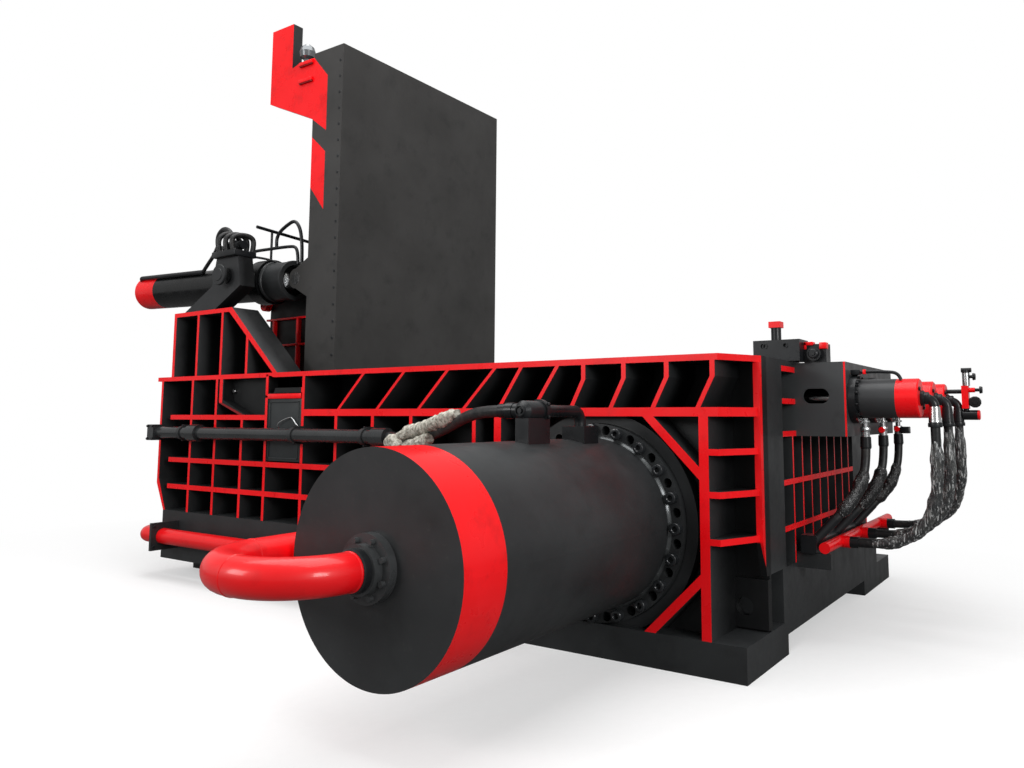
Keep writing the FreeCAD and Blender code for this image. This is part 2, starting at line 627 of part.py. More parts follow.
def outer_tower(side):
    """Ribbed side frame on the deck's edge, with the outer bearing plate on top."""
    reach = across(side, 0 * d.rib_reach, d.tower_side_deep)
    back = across(side, d.tower_side_deep - d.rib_plate, d.tower_side_deep)
    high, low, edge = d.tower_side_z, d.deck_z, d.tower_edge
    frame = [(d.tower_side_left, low), (d.tower_toe, low), (d.tower_side_right, high),
             (d.tower_side_left, high)]
    pieces = [plate("XZ", frame, back[0], back[1] - back[0])]
    pieces.append(block((d.tower_side_left, d.tower_side_left + edge), reach, (low, high)))
    pieces.append(block((d.tower_side_left, d.tower_side_right), reach, (high - edge, high)))
    slope = [(d.tower_toe, low), (d.tower_side_right, high),
             (d.tower_side_right - edge, high), (d.tower_side_right - edge, high - edge),
             (d.tower_toe - edge * 1.5, low)]
    pieces.append(plate("XZ", slope, reach[0], reach[1] - reach[0]))
    half = d.rib_plate / 2
    slant = (high - low) / (d.tower_toe - d.tower_side_right)
    for rib_x in (d.tower_rib_a, d.tower_rib_b, d.tower_rib_c):
        top = high - edge
        if rib_x > d.tower_side_right:
            top = high - edge - (rib_x + half - d.tower_side_right) * slant
        pieces.append(block((rib_x - half, rib_x + half), reach, (low, top)))
    head_y = between_walls(side, (d.lid_rod_y - d.tower_gap - d.tower_plate,
                                  d.lid_rod_y - d.tower_gap))
    pieces.append(tower_head(high, d.tower_side_left + edge / 2,
                             d.trunnion_x - d.head_toe, head_y))
    return node(f"{side}_outer_tower", join(pieces))


def inner_tower(side):
    head_y = between_walls(side, (d.lid_rod_y + d.tower_gap,
                                  d.lid_rod_y + d.tower_gap + d.tower_plate))
    head = tower_head(d.deck_z, d.trunnion_x - d.inner_toe_left,
                      d.trunnion_x + d.inner_toe_right, head_y)
    foot_x = (d.trunnion_x - d.inner_foot_left, d.trunnion_x + d.inner_foot_right)
    foot_y = (head_y[0] - d.rib_plate, head_y[1] + d.rib_plate)
    foot = block(foot_x, foot_y, (d.deck_z, d.deck_z + d.rib_plate))
    return node(f"{side}_inner_tower", join([head, foot]))


# ---- lid ----

def lid():
    """The welded lid, standing open: hinge bore at its root, ribs and lugs on its back and
    sockets for the lock bolts in its free end."""
    pieces = [block((lid_back_x, lid_front_x), (lid_near, lid_far),
                    (d.hinge_z - d.lid_root, lid_top))]
    for rod_y in (d.lid_rod_y, far_rod_y):
        for hand in (-1, 1):
            inner = rod_y + hand * (d.eye_width / 2 + d.eye_gap)
            outer = inner + hand * d.lug_plate
            lug_y = (inner, outer) if hand > 0 else (outer, inner)
            corners = [(lid_back_x, lug_z - d.lug_foot), (lid_back_x, lug_z + d.lug_foot),
                       (lug_x, lug_z + d.lug_r), (lug_x, lug_z - d.lug_r)]
            pieces.append(plate("XZ", corners, lug_y[0], d.lug_plate))
            pieces.append(bar("Y", lug_y, (lug_x, lug_z), d.lug_r))
    body = join(pieces)
    hollows = [bar("Y", (lid_near, lid_far), (d.hinge_x, d.hinge_z),
                   d.hinge_r + d.round_gap)]
    socket_x = d.hinge_x + d.hinge_z - d.lock_z
    for lock_y in lock_places:
        hollows.append(bar("Z", (lid_top - d.socket_deep, lid_top), (socket_x, lock_y),
                           d.lock_r + d.socket_gap))
    pocket_y = (lid_near + d.lid_side_beam, lid_far - d.lid_side_beam)
    pocket_z = (d.hinge_z + d.lid_first_pocket, lid_top - d.lid_rib)
    wide = (pocket_y[1] - pocket_y[0] + d.lid_rib) / 4
    high = (pocket_z[1] - pocket_z[0] + d.lid_rib) / 7
    for column in range(4):
        left = pocket_y[0] + wide * column
        for row in range(7):
            low = pocket_z[0] + high * row
            hollows.append(block((lid_back_x, lid_back_x + d.lid_pocket),
                                 (left, left + wide - d.lid_rib),
                                 (low, low + high - d.lid_rib)))
    for rod_y in (d.lid_rod_y, far_rod_y):
        reach = d.eye_width / 2 + d.eye_gap + d.lug_plate
        hollows.append(bar("Y", (rod_y - reach, rod_y + reach), (lug_x, lug_z),
                           d.eye_pin_r + d.round_gap))
    return node("lid", cut(body, hollows))


def lug_pin_ends():
    """The outer lengths of the rod pins, held in the lid's lugs."""
    ends = []
    for rod_y in (d.lid_rod_y, far_rod_y):
        for hand in (-1, 1):
            inner = rod_y + hand * (d.eye_width / 2 + d.eye_gap)
            outer = inner + hand * d.lug_plate
            ends.append(bar("Y", (inner, outer) if hand > 0 else (outer, inner),
                            (lug_x, lug_z), d.eye_pin_r))
    return node("lug_pin_ends", group(ends))


def hinge_shaft():
    reach = d.rib_reach - d.bearing_deep
    span = (d.front_y + reach, back_y - reach)
    return node("lid_hinge_shaft", bar("Y", span, (d.hinge_x, d.hinge_z), d.hinge_r))


def hinge_bearings():
    pair = []
    for side in ("near", "far"):
        bearing_x = (d.hinge_x - d.bearing_half, d.hinge_x + d.bearing_half)
        bearing_y = across(side, d.rib_reach - d.bearing_deep, d.rib_reach)
        housing = block(bearing_x, bearing_y, (d.hinge_z - d.bearing_half, under_deck))
        pair.append(cut(housing, [bar("Y", bearing_y, (d.hinge_x, d.hinge_z),
                                      d.hinge_r + d.running_fit)]))
    return node("hinge_bearings", group(pair))


def lid_hook():
    """The hooked plate on the near edge of the lid's free end."""
    tip_x = lid_back_x - d.hook_out
    arm_x = tip_x + d.hook_arm
    corners = [(tip_x, d.hook_tip_z), (tip_x, d.hook_low_z), (lid_back_x, d.hook_root_low_z),
               (lid_back_x, lid_top - d.end_plate), (arm_x + d.hook_throat, lid_top - d.end_plate),
               (arm_x, d.hook_notch_z), (arm_x, d.hook_tip_z)]
    return node("lid_hook", plate("XZ", corners, lid_near, d.hook_plate))


def landing_buffer():
    """A round nylon buffer on a short stem that stands in the hook's notch."""
    x = lid_back_x - d.buffer_out
    base = lid_top - d.end_plate
    profile = [(0, 0), (0, d.buffer_r * 0.45), (d.buffer_lift - d.buffer_r, d.buffer_r * 0.45),
               (d.buffer_lift - d.buffer_r * 0.7, d.buffer_r * 0.9),
               (d.buffer_lift, d.buffer_r), (d.buffer_lift + d.buffer_r * 0.6,
                                             d.buffer_r * 0.8),
               (d.buffer_lift + d.buffer_r, d.buffer_r * 0.3),
               (d.buffer_lift + d.buffer_r, 0)]
    return node("landing_buffer",
                turned("Z", profile, (x, lid_near + d.hook_plate / 2, base)))


# ---- lid cylinders: one length and one tilt in the open pose ----

lid_run = math.hypot(float(lug_x - d.trunnion_x), float(lug_z - d.trunnion_z))
lid_tilt = math.degrees(math.atan2(float(lug_z - d.trunnion_z), float(lug_x - d.trunnion_x)))


def aligned(thing, rod_y):
    """Sets a piece drawn along +X from its trunnion to the open cylinder's tilt."""
    thing.Placement = FreeCAD.Placement(V(), FreeCAD.Rotation(V(0, 1, 0), -lid_tilt))
    return place(thing, d.trunnion_x, rod_y, d.trunnion_z)


def lid_cylinder(side):
    rod_y = d.lid_rod_y if side == "near" else far_rod_y
    nose = Size(repr(lid_run), lid_run) - d.lid_nose_gap
    zero = 0 * d.lid_tail
    outside = [(-d.lid_tail, zero), (-d.lid_tail, d.lid_barrel_r * 0.86),
               (-d.lid_tail + d.lid_barrel_r * 0.14, d.lid_barrel_r),
               (-d.collar_half, d.lid_barrel_r), (-d.collar_half, d.collar_r),
               (d.collar_half, d.collar_r), (d.collar_half, d.lid_barrel_r),
               (nose, d.lid_barrel_r), (nose, d.lid_rod_r + d.running_fit),
               (nose - d.lid_gland, d.lid_rod_r + d.running_fit),
               (nose - d.lid_gland, d.lid_bore_r), (-d.lid_piston_back - 20, d.lid_bore_r),
               (-d.lid_piston_back - 20, zero)]
    barrel = turned("X", outside, (0, 0, 0))
    reach = d.tower_gap + d.tower_plate + 15
    studs = []
    for low, high in ((-reach, -d.collar_r + 10), (d.collar_r - 10, reach)):
        studs.append(bar("Y", (low, high), (zero, zero), d.trunnion_r))
    return node(f"{side}_lid_cylinder", aligned(join([barrel] + studs), rod_y))


def lid_rod(side):
    """Piston, rod, flat neck and eye of one lid cylinder."""
    rod_y = d.lid_rod_y if side == "near" else far_rod_y
    run = Size(repr(lid_run), lid_run)
    zero = 0 * d.lid_tail
    piston_end = -d.lid_piston_back + d.lid_piston
    neck_start = run - d.lid_nose_gap + 10
    profile = [(-d.lid_piston_back, zero),
               (-d.lid_piston_back, d.lid_bore_r - d.running_fit),
               (piston_end, d.lid_bore_r - d.running_fit), (piston_end, d.lid_rod_r),
               (neck_start, d.lid_rod_r), (neck_start, zero)]
    half = d.eye_width / 2
    neck = block((neck_start, run), (-half, half), (-d.neck_height / 2, d.neck_height / 2))
    eye = bar("Y", (-half, half), (run, zero), d.eye_r)
    solid = join([turned("X", profile, (0, 0, 0)), neck, eye])
    hole = bar("Y", (-half, half), (run, zero), d.eye_pin_r + d.round_gap)
    return node(f"{side}_lid_rod", aligned(cut(solid, [hole]), rod_y))


def eye_pin(side):
    """The middle length of the rod pin, which stays in the rod's eye."""
    rod_y = d.lid_rod_y if side == "near" else far_rod_y
    span = (rod_y - d.eye_width / 2, rod_y + d.eye_width / 2)
    return node(f"{side}_eye_pin", bar("Y", span, (lug_x, lug_z), d.eye_pin_r))


# ---- main cylinder ----

def main_cylinder():
    """Barrel, closed cap and bolting flange, with one hole for each bolt and one between."""
    start = d.cap_y
    flange_front = d.main_flange_y - start
    flange_back = flange_back_y - start
    zero = 0 * d.barrel_r
    profile = [(zero, zero), (zero, d.barrel_r), (flange_front, d.barrel_r),
               (flange_front, d.main_flange_r), (flange_back, d.main_flange_r),
               (flange_back, d.main_rod_r + d.running_fit),
               (flange_back - d.gland_length, d.main_rod_r + d.running_fit),
               (flange_back - d.gland_length, d.main_bore_r), (d.cap_wall, d.main_bore_r),
               (d.cap_wall, zero)]
    barrel = turned("Y", profile, (zero, start, d.axis_z))
    document.recompute()
    for radius, first, stop in ((d.bolt_r + d.bolt_hole_gap, 0, None),
                                (d.free_hole_r, 180 / int(float(d.bolt_count)), None)):
        drill = barrel.newObject("Sketcher::SketchObject", "Drill")
        support = next(f for f in barrel.Origin.OriginFeatures if f.Role == "XZ_Plane")
        drill.AttachmentSupport = [(support, "")]
        drill.MapMode = "FlatFace"
        drill.AttachmentOffset = FreeCAD.Placement(V(), FreeCAD.Rotation(V(0, 0, 1), first))
        drill.setExpression("AttachmentOffset.Base.z", formula(-flange_front))
        drill.addGeometry(Part.Circle(V(float(d.bolt_circle), 0, 0), V(0, 0, 1),
                                      float(radius)))
        number = drill.addConstraint(Sketcher.Constraint("DistanceX", -1, 1, 0, 3,
                                                         float(d.bolt_circle)))
        drill.setExpression(f"Constraints[{number}]", formula(d.bolt_circle))
        drill.addConstraint(Sketcher.Constraint("PointOnObject", 0, 3, -1))
        number = drill.addConstraint(Sketcher.Constraint("Radius", 0, float(radius)))
        drill.setExpression(f"Constraints[{number}]", formula(radius))
        pocket = barrel.newObject("PartDesign::Pocket", "Hole")
        pocket.Profile = drill
        pocket.setExpression("Length", formula(d.main_flange))
        document.recompute()
        pattern = barrel.newObject("PartDesign::PolarPattern", "HoleRing")
        pattern.Originals = [pocket]
        pattern.Axis = (drill, ["N_Axis"])
        pattern.Angle = 360
        pattern.setExpression("Occurrences", formula(d.bolt_count))
        barrel.Tip = pattern
        document.recompute()
    return node("main_cylinder", barrel)


def flange_bolts():
    """Socket-head bolts of the main flange."""
    bolts = []
    head_y = (d.main_flange_y - d.bolt_head, d.main_flange_y)
    for x, z in ring_places(int(float(d.bolt_count)), d.bolt_circle, (0, d.axis_z)):
        head = bar("Y", head_y, (x, z), d.bolt_head_r)
        shank = bar("Y", (d.main_flange_y, flange_back_y), (x, z), d.bolt_r)
        socket = bar("Y", (head_y[0], head_y[0] + d.bolt_head / 2), (x, z),
                     d.bolt_head_r * 0.48)
        bolts.append(cut(join([head, shank]), [socket]))
    return node("main_flange_bolts", group(bolts))


def port_flange():
    """Bolted flange and collar in the middle of the main cylinder's cap."""
    zero = 0 * d.port_flange
    profile = [(zero, zero), (zero, d.port_collar_r), (d.port_collar, d.port_collar_r),
               (d.port_collar, d.port_flange_r), (d.port_collar + d.port_flange,
                                                  d.port_flange_r),
               (d.port_collar + d.port_flange, zero)]
    start = d.cap_y - d.port_collar - d.port_flange
    pieces = [turned("Y", profile, (zero, start, d.axis_z))]
    for x, z in ring_places(int(float(d.port_bolts)), d.port_bolt_circle + 5,
                            (0, d.axis_z), 22.5):
        pieces.append(bar("Y", (d.cap_y - d.port_flange - d.port_bolt_head,
                                d.cap_y - d.port_flange), (x, z), d.port_bolt_r))
    return node("cap_port_flange", join(pieces))


def main_ram():
    """Piston and rod of the main cylinder."""
    zero = 0 * d.barrel_r
    start = d.cap_y + d.cap_wall + d.piston_start
    platen_back = near_y + d.platen_proud - d.platen_deep
    profile = [(zero, zero), (zero, d.main_bore_r - d.running_fit),
               (d.main_piston, d.main_bore_r - d.running_fit), (d.main_piston, d.main_rod_r),
               (platen_back - start, d.main_rod_r), (platen_back - start, zero)]
    return node("main_ram", turned("Y", profile, (zero, start, d.axis_z)))


def press_platen():
    platen_y = (near_y + d.platen_proud - d.platen_deep, near_y + d.platen_proud)
    return node("press_platen", block((-d.platen_width / 2, d.platen_width / 2), platen_y,
                                      (d.platen_low, platen_top)))


# ---- side cylinder and pusher ----

def side_pusher():
    """A box that is open at the back, where the cylinder's barrel reaches in."""
    back_x = d.pusher_face - d.pusher_length
    outer_y = (near_y + d.pusher_gap, far_y - d.pusher_gap)
    shell = block((back_x, d.pusher_face), outer_y, (d.pusher_low, d.pusher_top))
    wall = d.pusher_wall
    inside = block((back_x, d.pusher_face - wall * 1.5),
                   (outer_y[0] + wall, outer_y[1] - wall),
                   (d.pusher_low + wall, d.pusher_top - wall))
    return node("side_pusher", cut(shell, [inside]))


def side_cylinder():
    zero = 0 * d.side_barrel_r
    start = d.side_tail_x
    nose = d.side_nose_x - start
    flange_at = d.left_x - d.side_flange - start
    profile = [(zero, zero), (zero, d.side_barrel_r * 0.9),
               (d.side_barrel_r * 0.1, d.side_barrel_r), (flange_at, d.side_barrel_r),
               (flange_at, d.side_flange_r), (flange_at + d.side_flange, d.side_flange_r),
               (flange_at + d.side_flange, d.side_barrel_r), (nose, d.side_barrel_r),
               (nose, d.side_rod_r + d.running_fit),
               (nose - d.side_gland, d.side_rod_r + d.running_fit),
               (nose - d.side_gland, d.side_bore_r), (d.cap_wall, d.side_bore_r),
               (d.cap_wall, zero)]
    barrel = turned("X", profile, (start, d.side_axis_y, d.axis_z))
    port_z = d.axis_z - d.side_barrel_r
    port = bar("Z", (port_z - d.side_port, port_z + d.side_port),
               (d.side_port_x, d.side_axis_y), d.side_port_r)
    return node("side_cylinder", join([barrel, port]))


def side_ram():
    zero = 0 * d.side_barrel_r
    start = d.side_tail_x + d.cap_wall + 10
    reach = d.pusher_face - d.pusher_wall * 1.5 - start
    profile = [(zero, zero), (zero, d.side_bore_r - d.running_fit),
               (d.side_piston, d.side_bore_r - d.running_fit), (d.side_piston, d.side_rod_r),
               (reach, d.side_rod_r), (reach, zero)]
    return node("side_ram", turned("X", profile, (start, d.side_axis_y, d.axis_z)))


# ---- lock bolts ----

def lock_housing():
    """Box over the lock bolts at the right end, with an oblong slot in each side."""
    outer = join([block((d.end_back_x, d.right_x), (housing_near, housing_far),
                        (d.housing_low, under_deck)),
                  block((d.right_x, d.housing_right), (housing_near, housing_far),
                        (d.housing_low, d.housing_top))])
    wall = d.housing_wall
    hollows = [block((d.end_back_x, d.housing_right - wall),
                     (housing_near + wall, housing_far - wall),
                     (d.housing_low + wall, under_deck - wall))]
    for lock_y in lock_places:
        hollows.append(bar("X", (d.housing_right - wall, d.housing_right),
                           (lock_y, d.lock_z), d.lock_rod_r + 5))
    for low in (housing_near, housing_far - wall):
        slot_y = (low, low + wall)
        left, right = d.slot_left + d.slot_half, d.slot_right - d.slot_half
        hollows.append(block((left, right), slot_y,
                             (d.slot_z - d.slot_half, d.slot_z + d.slot_half)))
        hollows.append(bar("Y", slot_y, (left, d.slot_z), d.slot_half))
        hollows.append(bar("Y", slot_y, (right, d.slot_z), d.slot_half))
    return node("lock_housing", cut(outer, hollows))


def lock_cylinder(index, lock_y):
    zero = 0 * d.lock_barrel_r
    length = d.lock_tail_x - d.housing_right
    wall = d.housing_wall
    profile = [(zero, d.lock_rod_r + d.running_fit), (zero, d.lock_flange_r),
               (d.lock_flange, d.lock_flange_r), (d.lock_flange, d.lock_barrel_r),
               (length - 8, d.lock_barrel_r), (length, d.lock_barrel_r - 8), (length, zero),
               (length - wall, zero), (length - wall, d.lock_bore_r),
               (wall, d.lock_bore_r), (wall, d.lock_rod_r + d.running_fit)]
    barrel = turned("X", profile, (d.housing_right, lock_y, d.lock_z))
    heads = [bar("X", (d.housing_right + d.lock_flange,
                       d.housing_right + d.lock_flange + 16), place_yz, 9)
             for place_yz in ring_places(12, d.lock_flange_r - 17, (lock_y, d.lock_z), 15)]
    out_x = d.lock_tail_x + d.cap_elbow_out
    elbow = bent_pipe([(d.lock_tail_x, lock_y, d.lock_z), (out_x, lock_y, d.lock_z),
                       (out_x, lock_y, d.lock_z - d.cap_elbow_down)], d.hose_r,
                      [d.cap_elbow_bend])
    neck_x = d.housing_right + d.neck_in
    nut_top = d.lock_z - d.lock_barrel_r - d.nut_top
    neck = bar("Z", (nut_top, d.lock_z - d.lock_barrel_r + 10), (neck_x, lock_y), d.neck_r)
    nut = bar("Z", (nut_top - d.nut_height, nut_top), (neck_x, lock_y), d.nut_r)
    return node(f"lock_cylinder_{index}", join([barrel] + heads + [elbow, neck, nut]))


def lock_bolt(index, lock_y):
    """Lock bolt, rod and piston in one line, drawn back."""
    zero = 0 * d.lock_r
    start = beam_left + d.lock_recess
    shoulder = d.lock_end_x - start
    piston_end = d.lock_tail_x - d.housing_wall - 5 - start
    profile = [(zero, zero), (zero, d.lock_r - 12), (zero + 20, d.lock_r),
               (shoulder, d.lock_r), (shoulder, d.lock_rod_r),
               (piston_end - d.lock_piston, d.lock_rod_r),
               (piston_end - d.lock_piston, d.lock_bore_r - d.running_fit),
               (piston_end, d.lock_bore_r - d.running_fit), (piston_end, zero)]
    return node(f"lock_bolt_{index}", turned("X", profile, (start, lock_y, d.lock_z)))


# ---- discharge door ----

def door_frame():
    """Posts and rails that carry the door outside the far wall."""
    rail_y = (back_y, door_y + d.door_plate + d.door_gap + d.rail)
    span = (-d.door_half - d.door_travel - d.rail, d.door_half + d.rail)
    low_z = d.floor_z - d.door_gap
    top_z = low_z + d.door_height
    pieces = []
    for z in ((d.foot_z, low_z - d.door_gap), (top_z + d.door_gap,
                                               top_z + d.door_gap + d.rail)):
        pieces.append(block(span, rail_y, z))
    keeper_y = (door_y + d.door_plate + d.door_gap, rail_y[1])
    pieces.append(block(span, keeper_y, (d.foot_z, low_z + d.rail)))
    pieces.append(block(span, keeper_y, (top_z - d.rail, top_z + d.door_gap + d.rail)))
    pieces.append(block((span[1] - d.rail / 2, span[1] + d.door_post / 2), rail_y,
                        (d.foot_z, top_z + d.door_gap + d.rail)))
    for hand in (-1, 1):
        post_x = hand * (channel_half + d.door_post / 2 + d.door_gap)
        pieces.append(block((post_x - d.door_post / 2, post_x + d.door_post / 2),
                            (keeper_y[0], keeper_y[1] + d.door_post),
                            (d.foot_z, top_z + d.door_gap + d.rail)))
    return node("door_frame", join(pieces))


def discharge_door():
    low_z = d.floor_z - d.door_gap
    door = block((-d.door_half, d.door_half), (door_y, door_y + d.door_plate),
                 (low_z, low_z + d.door_height))
    return node("discharge_door", door)


def door_cylinder():
    zero = 0 * d.door_rod_r
    length = d.door_barrel_right - d.door_barrel_left
    wall = d.rail
    profile = [(zero, zero), (zero, d.door_barrel_r), (length, d.door_barrel_r),
               (length, d.door_rod_r + d.running_fit),
               (length - wall, d.door_rod_r + d.running_fit), (length - wall, d.door_bore_r),
               (wall, d.door_bore_r), (wall, zero)]
    where = (d.door_barrel_left, door_y + d.door_plate / 2, d.door_axis_z)
    barrel = turned("X", profile, where)
    feet = []
    for place_x in (d.door_barrel_left + d.door_foot_in,
                    d.door_barrel_right - d.door_foot_in):
        foot = block((place_x, place_x + d.rail * 2),
                     (back_y, door_y + d.door_plate / 2),
                     (d.door_axis_z - d.door_barrel_r, d.door_axis_z + d.door_barrel_r))
        feet.append(cut(foot, [bar("X", (place_x, place_x + d.rail * 2),
                                   (door_y + d.door_plate / 2, d.door_axis_z),
                                   d.door_barrel_r - 5)]))
    return node("door_cylinder", join([barrel] + feet))


def door_rod():
    zero = 0 * d.door_rod_r
    start = d.door_barrel_right - d.rail - d.door_piston - 10
    reach = -d.door_half - start
    profile = [(zero, zero), (zero, d.door_bore_r - d.running_fit),
               (d.door_piston, d.door_bore_r - d.running_fit), (d.door_piston, d.door_rod_r),
               (reach, d.door_rod_r), (reach, zero)]
    where = (start, door_y + d.door_plate / 2, d.door_axis_z)
    return node("door_rod", turned("X", profile, where))


# ---- pipes ----

def feed_pipe():
    """The large pipe that leaves the cap, turns back beside the barrel and drops to the base,
    where it narrows."""
    start_y = d.cap_y - d.port_flange - d.port_collar
    turn_y = start_y - d.feed_lead - d.feed_bend
    left = -2 * d.feed_bend
    points = [(0, start_y, d.axis_z), (0, turn_y, d.axis_z), (left, turn_y, d.axis_z),
              (left, d.base_pipe_y, d.axis_z), (left, d.base_pipe_y, d.reducer_z)]
    bends = (d.feed_bend, d.feed_bend, d.feed_drop_bend)
    cone = document.addObject("Part::Cone", "Reducer")
    cone.setExpression("Radius1", formula(d.base_pipe_r))
    cone.setExpression("Radius2", formula(d.feed_r))
    cone.setExpression("Height", formula(d.reducer))
    place(cone, left, d.base_pipe_y, d.reducer_z - d.reducer)
    return node("feed_pipe", join([bent_pipe(points, d.feed_r, bends), cone]))


def base_pipe():
    """The pipe that runs on along the base and round the left end to the side cylinder."""
    top = d.reducer_z - d.reducer
    port_z = d.axis_z - d.side_barrel_r - d.side_port
    points = [(-2 * d.feed_bend, d.base_pipe_y, top),
              (-2 * d.feed_bend, d.base_pipe_y, d.base_pipe_z),
              (d.base_pipe_left, d.base_pipe_y, d.base_pipe_z),
              (d.base_pipe_left, d.side_axis_y, d.base_pipe_z),
              (d.side_port_x, d.side_axis_y, d.base_pipe_z),
              (d.side_port_x, d.side_axis_y, port_z)]
    bends = [d.base_pipe_bend] * 4
    return node("base_pipe", bent_pipe(points, d.base_pipe_r, bends))


def base_pipe_brackets():
    """Upright plates on the base beam, each bored for the pipe."""
    plates = []
    half = d.bracket_height / 2
    for index in range(3):
        left = d.bracket_first + d.bracket_pitch * index
        corners = [(d.front_y, d.base_pipe_z - half), (d.front_y, d.base_pipe_z + half),
                   (d.front_y - d.bracket_reach, d.base_pipe_z + half),
                   (d.front_y - d.bracket_reach, d.base_pipe_z - half)]
        sheet_plate = plate("YZ", corners, left, d.bracket_plate)
        plates.append(cut(sheet_plate, [bar("X", (left, left + d.bracket_plate),
                                            (d.base_pipe_y, d.base_pipe_z),
                                            d.base_pipe_r + d.round_gap)]))
    return node("base_pipe_brackets", group(plates))


elbow_x = d.wall_pipe_right + d.wall_elbow_lead
wall_elbow = [(d.wall_pipe_right, d.wall_pipe_y, d.wall_pipe_z),
              (elbow_x, d.wall_pipe_y, d.wall_pipe_z),
              (elbow_x + 82, d.wall_pipe_y - 38, d.wall_pipe_z - 8)]


def wall_pipe():
    """The pipe along the near wall, with an elbow block at its left end, whose stub goes into
    the wall, and a sleeve at its right end."""
    centre = (d.wall_pipe_y, d.wall_pipe_z)
    half, high = d.elbow_block / 2, d.elbow_height / 2
    left = d.wall_pipe_left
    pieces = [bar("X", (left, d.wall_pipe_right), centre, d.wall_pipe_r),
              block((left - half, left + half), (centre[0] - high, centre[0] + half),
                    (centre[1] - high, centre[1] + high)),
              bar("Y", (centre[0], near_y - d.wall_plate), (left, centre[1]), half - 2),
              bar("X", (d.wall_pipe_right - d.elbow_height, d.wall_pipe_right), centre,
                  d.wall_pipe_r + 15),
              bar("X", (d.pipe_union_x - d.pipe_union / 2, d.pipe_union_x + d.pipe_union / 2),
                  centre, d.pipe_union_r),
              bent_pipe(wall_elbow, d.wall_elbow_r, [d.wall_elbow_bend])]
    return node("wall_pipe", join(pieces))


def wall_pipe_saddles():
    """Blocks on the rib edges with a hollow for the pipe, and a strap round it."""
    saddles = []
    for place_x in (d.rib_a, d.rib_e, d.rib_g):
        span = (place_x - d.saddle / 2, place_x + d.saddle / 2)
        seat = block(span, (d.wall_pipe_y, d.front_y),
                     (d.wall_pipe_z - d.elbow_height / 2, d.wall_pipe_z + d.elbow_height / 2))
        strap = bar("X", span, (d.wall_pipe_y, d.wall_pipe_z), d.wall_pipe_r + 10)
        saddles.append(cut(join([seat, strap]), [bar("X", span,
                                                     (d.wall_pipe_y, d.wall_pipe_z),
                                                     d.wall_pipe_r + d.round_gap)]))
    return node("wall_pipe_saddles", group(saddles))


# ---- hoses of the lock cylinders ----

# The front hose's route from its nut, and the rear hose's as shares of the way from the cap's
# elbow to the rear pipe.
FRONT_ROUTE = [(0, 0, 0), (0, 0, -125), (-14, -40, -270), (-75, -101, -420), (-174, -155, -537)]
REAR_ROUTE = [(0, 0, 0), (0, 0, 0.2), (0, 0.12, 0.44), (0.03, 0.33, 0.626),
              (0.16, 0.63, 0.824), (0.42, 0.9, 0.95), (0.71, 1, 1), (1, 1, 1)]
REAR_SHIFTS = (130, 120, 230)

front_start_x = d.housing_right + d.neck_in
front_start_z = d.lock_z - d.lock_barrel_r - d.nut_top - d.nut_height
rear_start_x = d.lock_tail_x + d.cap_elbow_out
rear_start_z = d.lock_z - d.cap_elbow_down
rear_end_x = d.rear_pipe_x + d.rear_stub + d.rear_ferrule


def lock_hoses():
    hoses = []
    for lock_y, shift in zip(lock_places, REAR_SHIFTS):
        hoses.append(bent_pipe([(front_start_x + x, lock_y + y, front_start_z + z)
                                for x, y, z in FRONT_ROUTE], d.hose_r))
        run_x, run_z = rear_end_x - rear_start_x, d.rear_pipe_z - rear_start_z
        hoses.append(bent_pipe([(rear_start_x + run_x * x, lock_y + shift * y,
                                 rear_start_z + run_z * z) for x, y, z in REAR_ROUTE],
                               d.hose_r))
    return node("lock_hoses", group(hoses))


manifold_seat = d.rear_pipe_z - d.rear_pipe_r - d.round_gap
manifold_near = housing_near - d.manifold_block + 10


def front_bar(near, far):
    return bar("Y", (near, far), (d.front_pipe_x, d.front_pipe_z), d.front_pipe_r)


def front_block():
    half = d.manifold_block / 2
    return block((d.front_pipe_x - half, d.front_pipe_x + half),
                 (manifold_near, manifold_near + d.manifold_block),
                 (manifold_seat, manifold_seat + d.manifold_block_high))


def hose_ferrules():
    """Crimped ends of the six hoses, at the front pipe and at the rear pipe's stubs."""
    ferrules = []
    before, last = FRONT_ROUTE[-2:]
    step = V(*last) - V(*before)
    step.normalize()
    for lock_y, shift in zip(lock_places, REAR_SHIFTS):
        begin = V(float(front_start_x), float(lock_y), float(front_start_z)) + V(*last)
        stop = begin + step * float(d.ferrule_reach)
        ferrules.append(cut(bent_pipe([tuple(begin), tuple(stop)], d.ferrule_r),
                            [front_bar(d.rear_pipe_near, d.rear_pipe_far), front_block()]))
        ferrules.append(bar("X", (rear_end_x - d.rear_ferrule, rear_end_x),
                            (lock_y + shift, d.rear_pipe_z), d.rear_stub_r - 2))
    return node("hose_ferrules", group(ferrules))


def rear_manifold():
    """The red pipe behind, with one stub for each cap hose."""
    pieces = [bar("Y", (d.rear_pipe_near, d.rear_pipe_far), (d.rear_pipe_x, d.rear_pipe_z),
                  d.rear_pipe_r)]
    for lock_y, shift in zip(lock_places, REAR_SHIFTS):
        pieces.append(bar("X", (d.rear_pipe_x, d.rear_pipe_x + d.rear_stub),
                          (lock_y + shift, d.rear_pipe_z), d.rear_stub_r))
    return node("rear_manifold", join(pieces))


def front_manifold():
    """The black pipe in front, with its elbow block at the near end."""
    return node("front_manifold", join([front_block(),
                                        front_bar(manifold_near, d.front_pipe_far)]))


def manifold_brackets():
    """Upright plates on the end base's face, under both pipes."""
    span = (d.right_x, d.right_x + d.manifold_reach)
    high = (manifold_seat - d.manifold_deep, manifold_seat)
    plates = [block(span, (low, low + d.bracket_plate), high)
              for low in (d.rear_pipe_near, far_y - d.manifold_far_in)]
    return node("manifold_brackets", group(plates))


# ---- valves ----

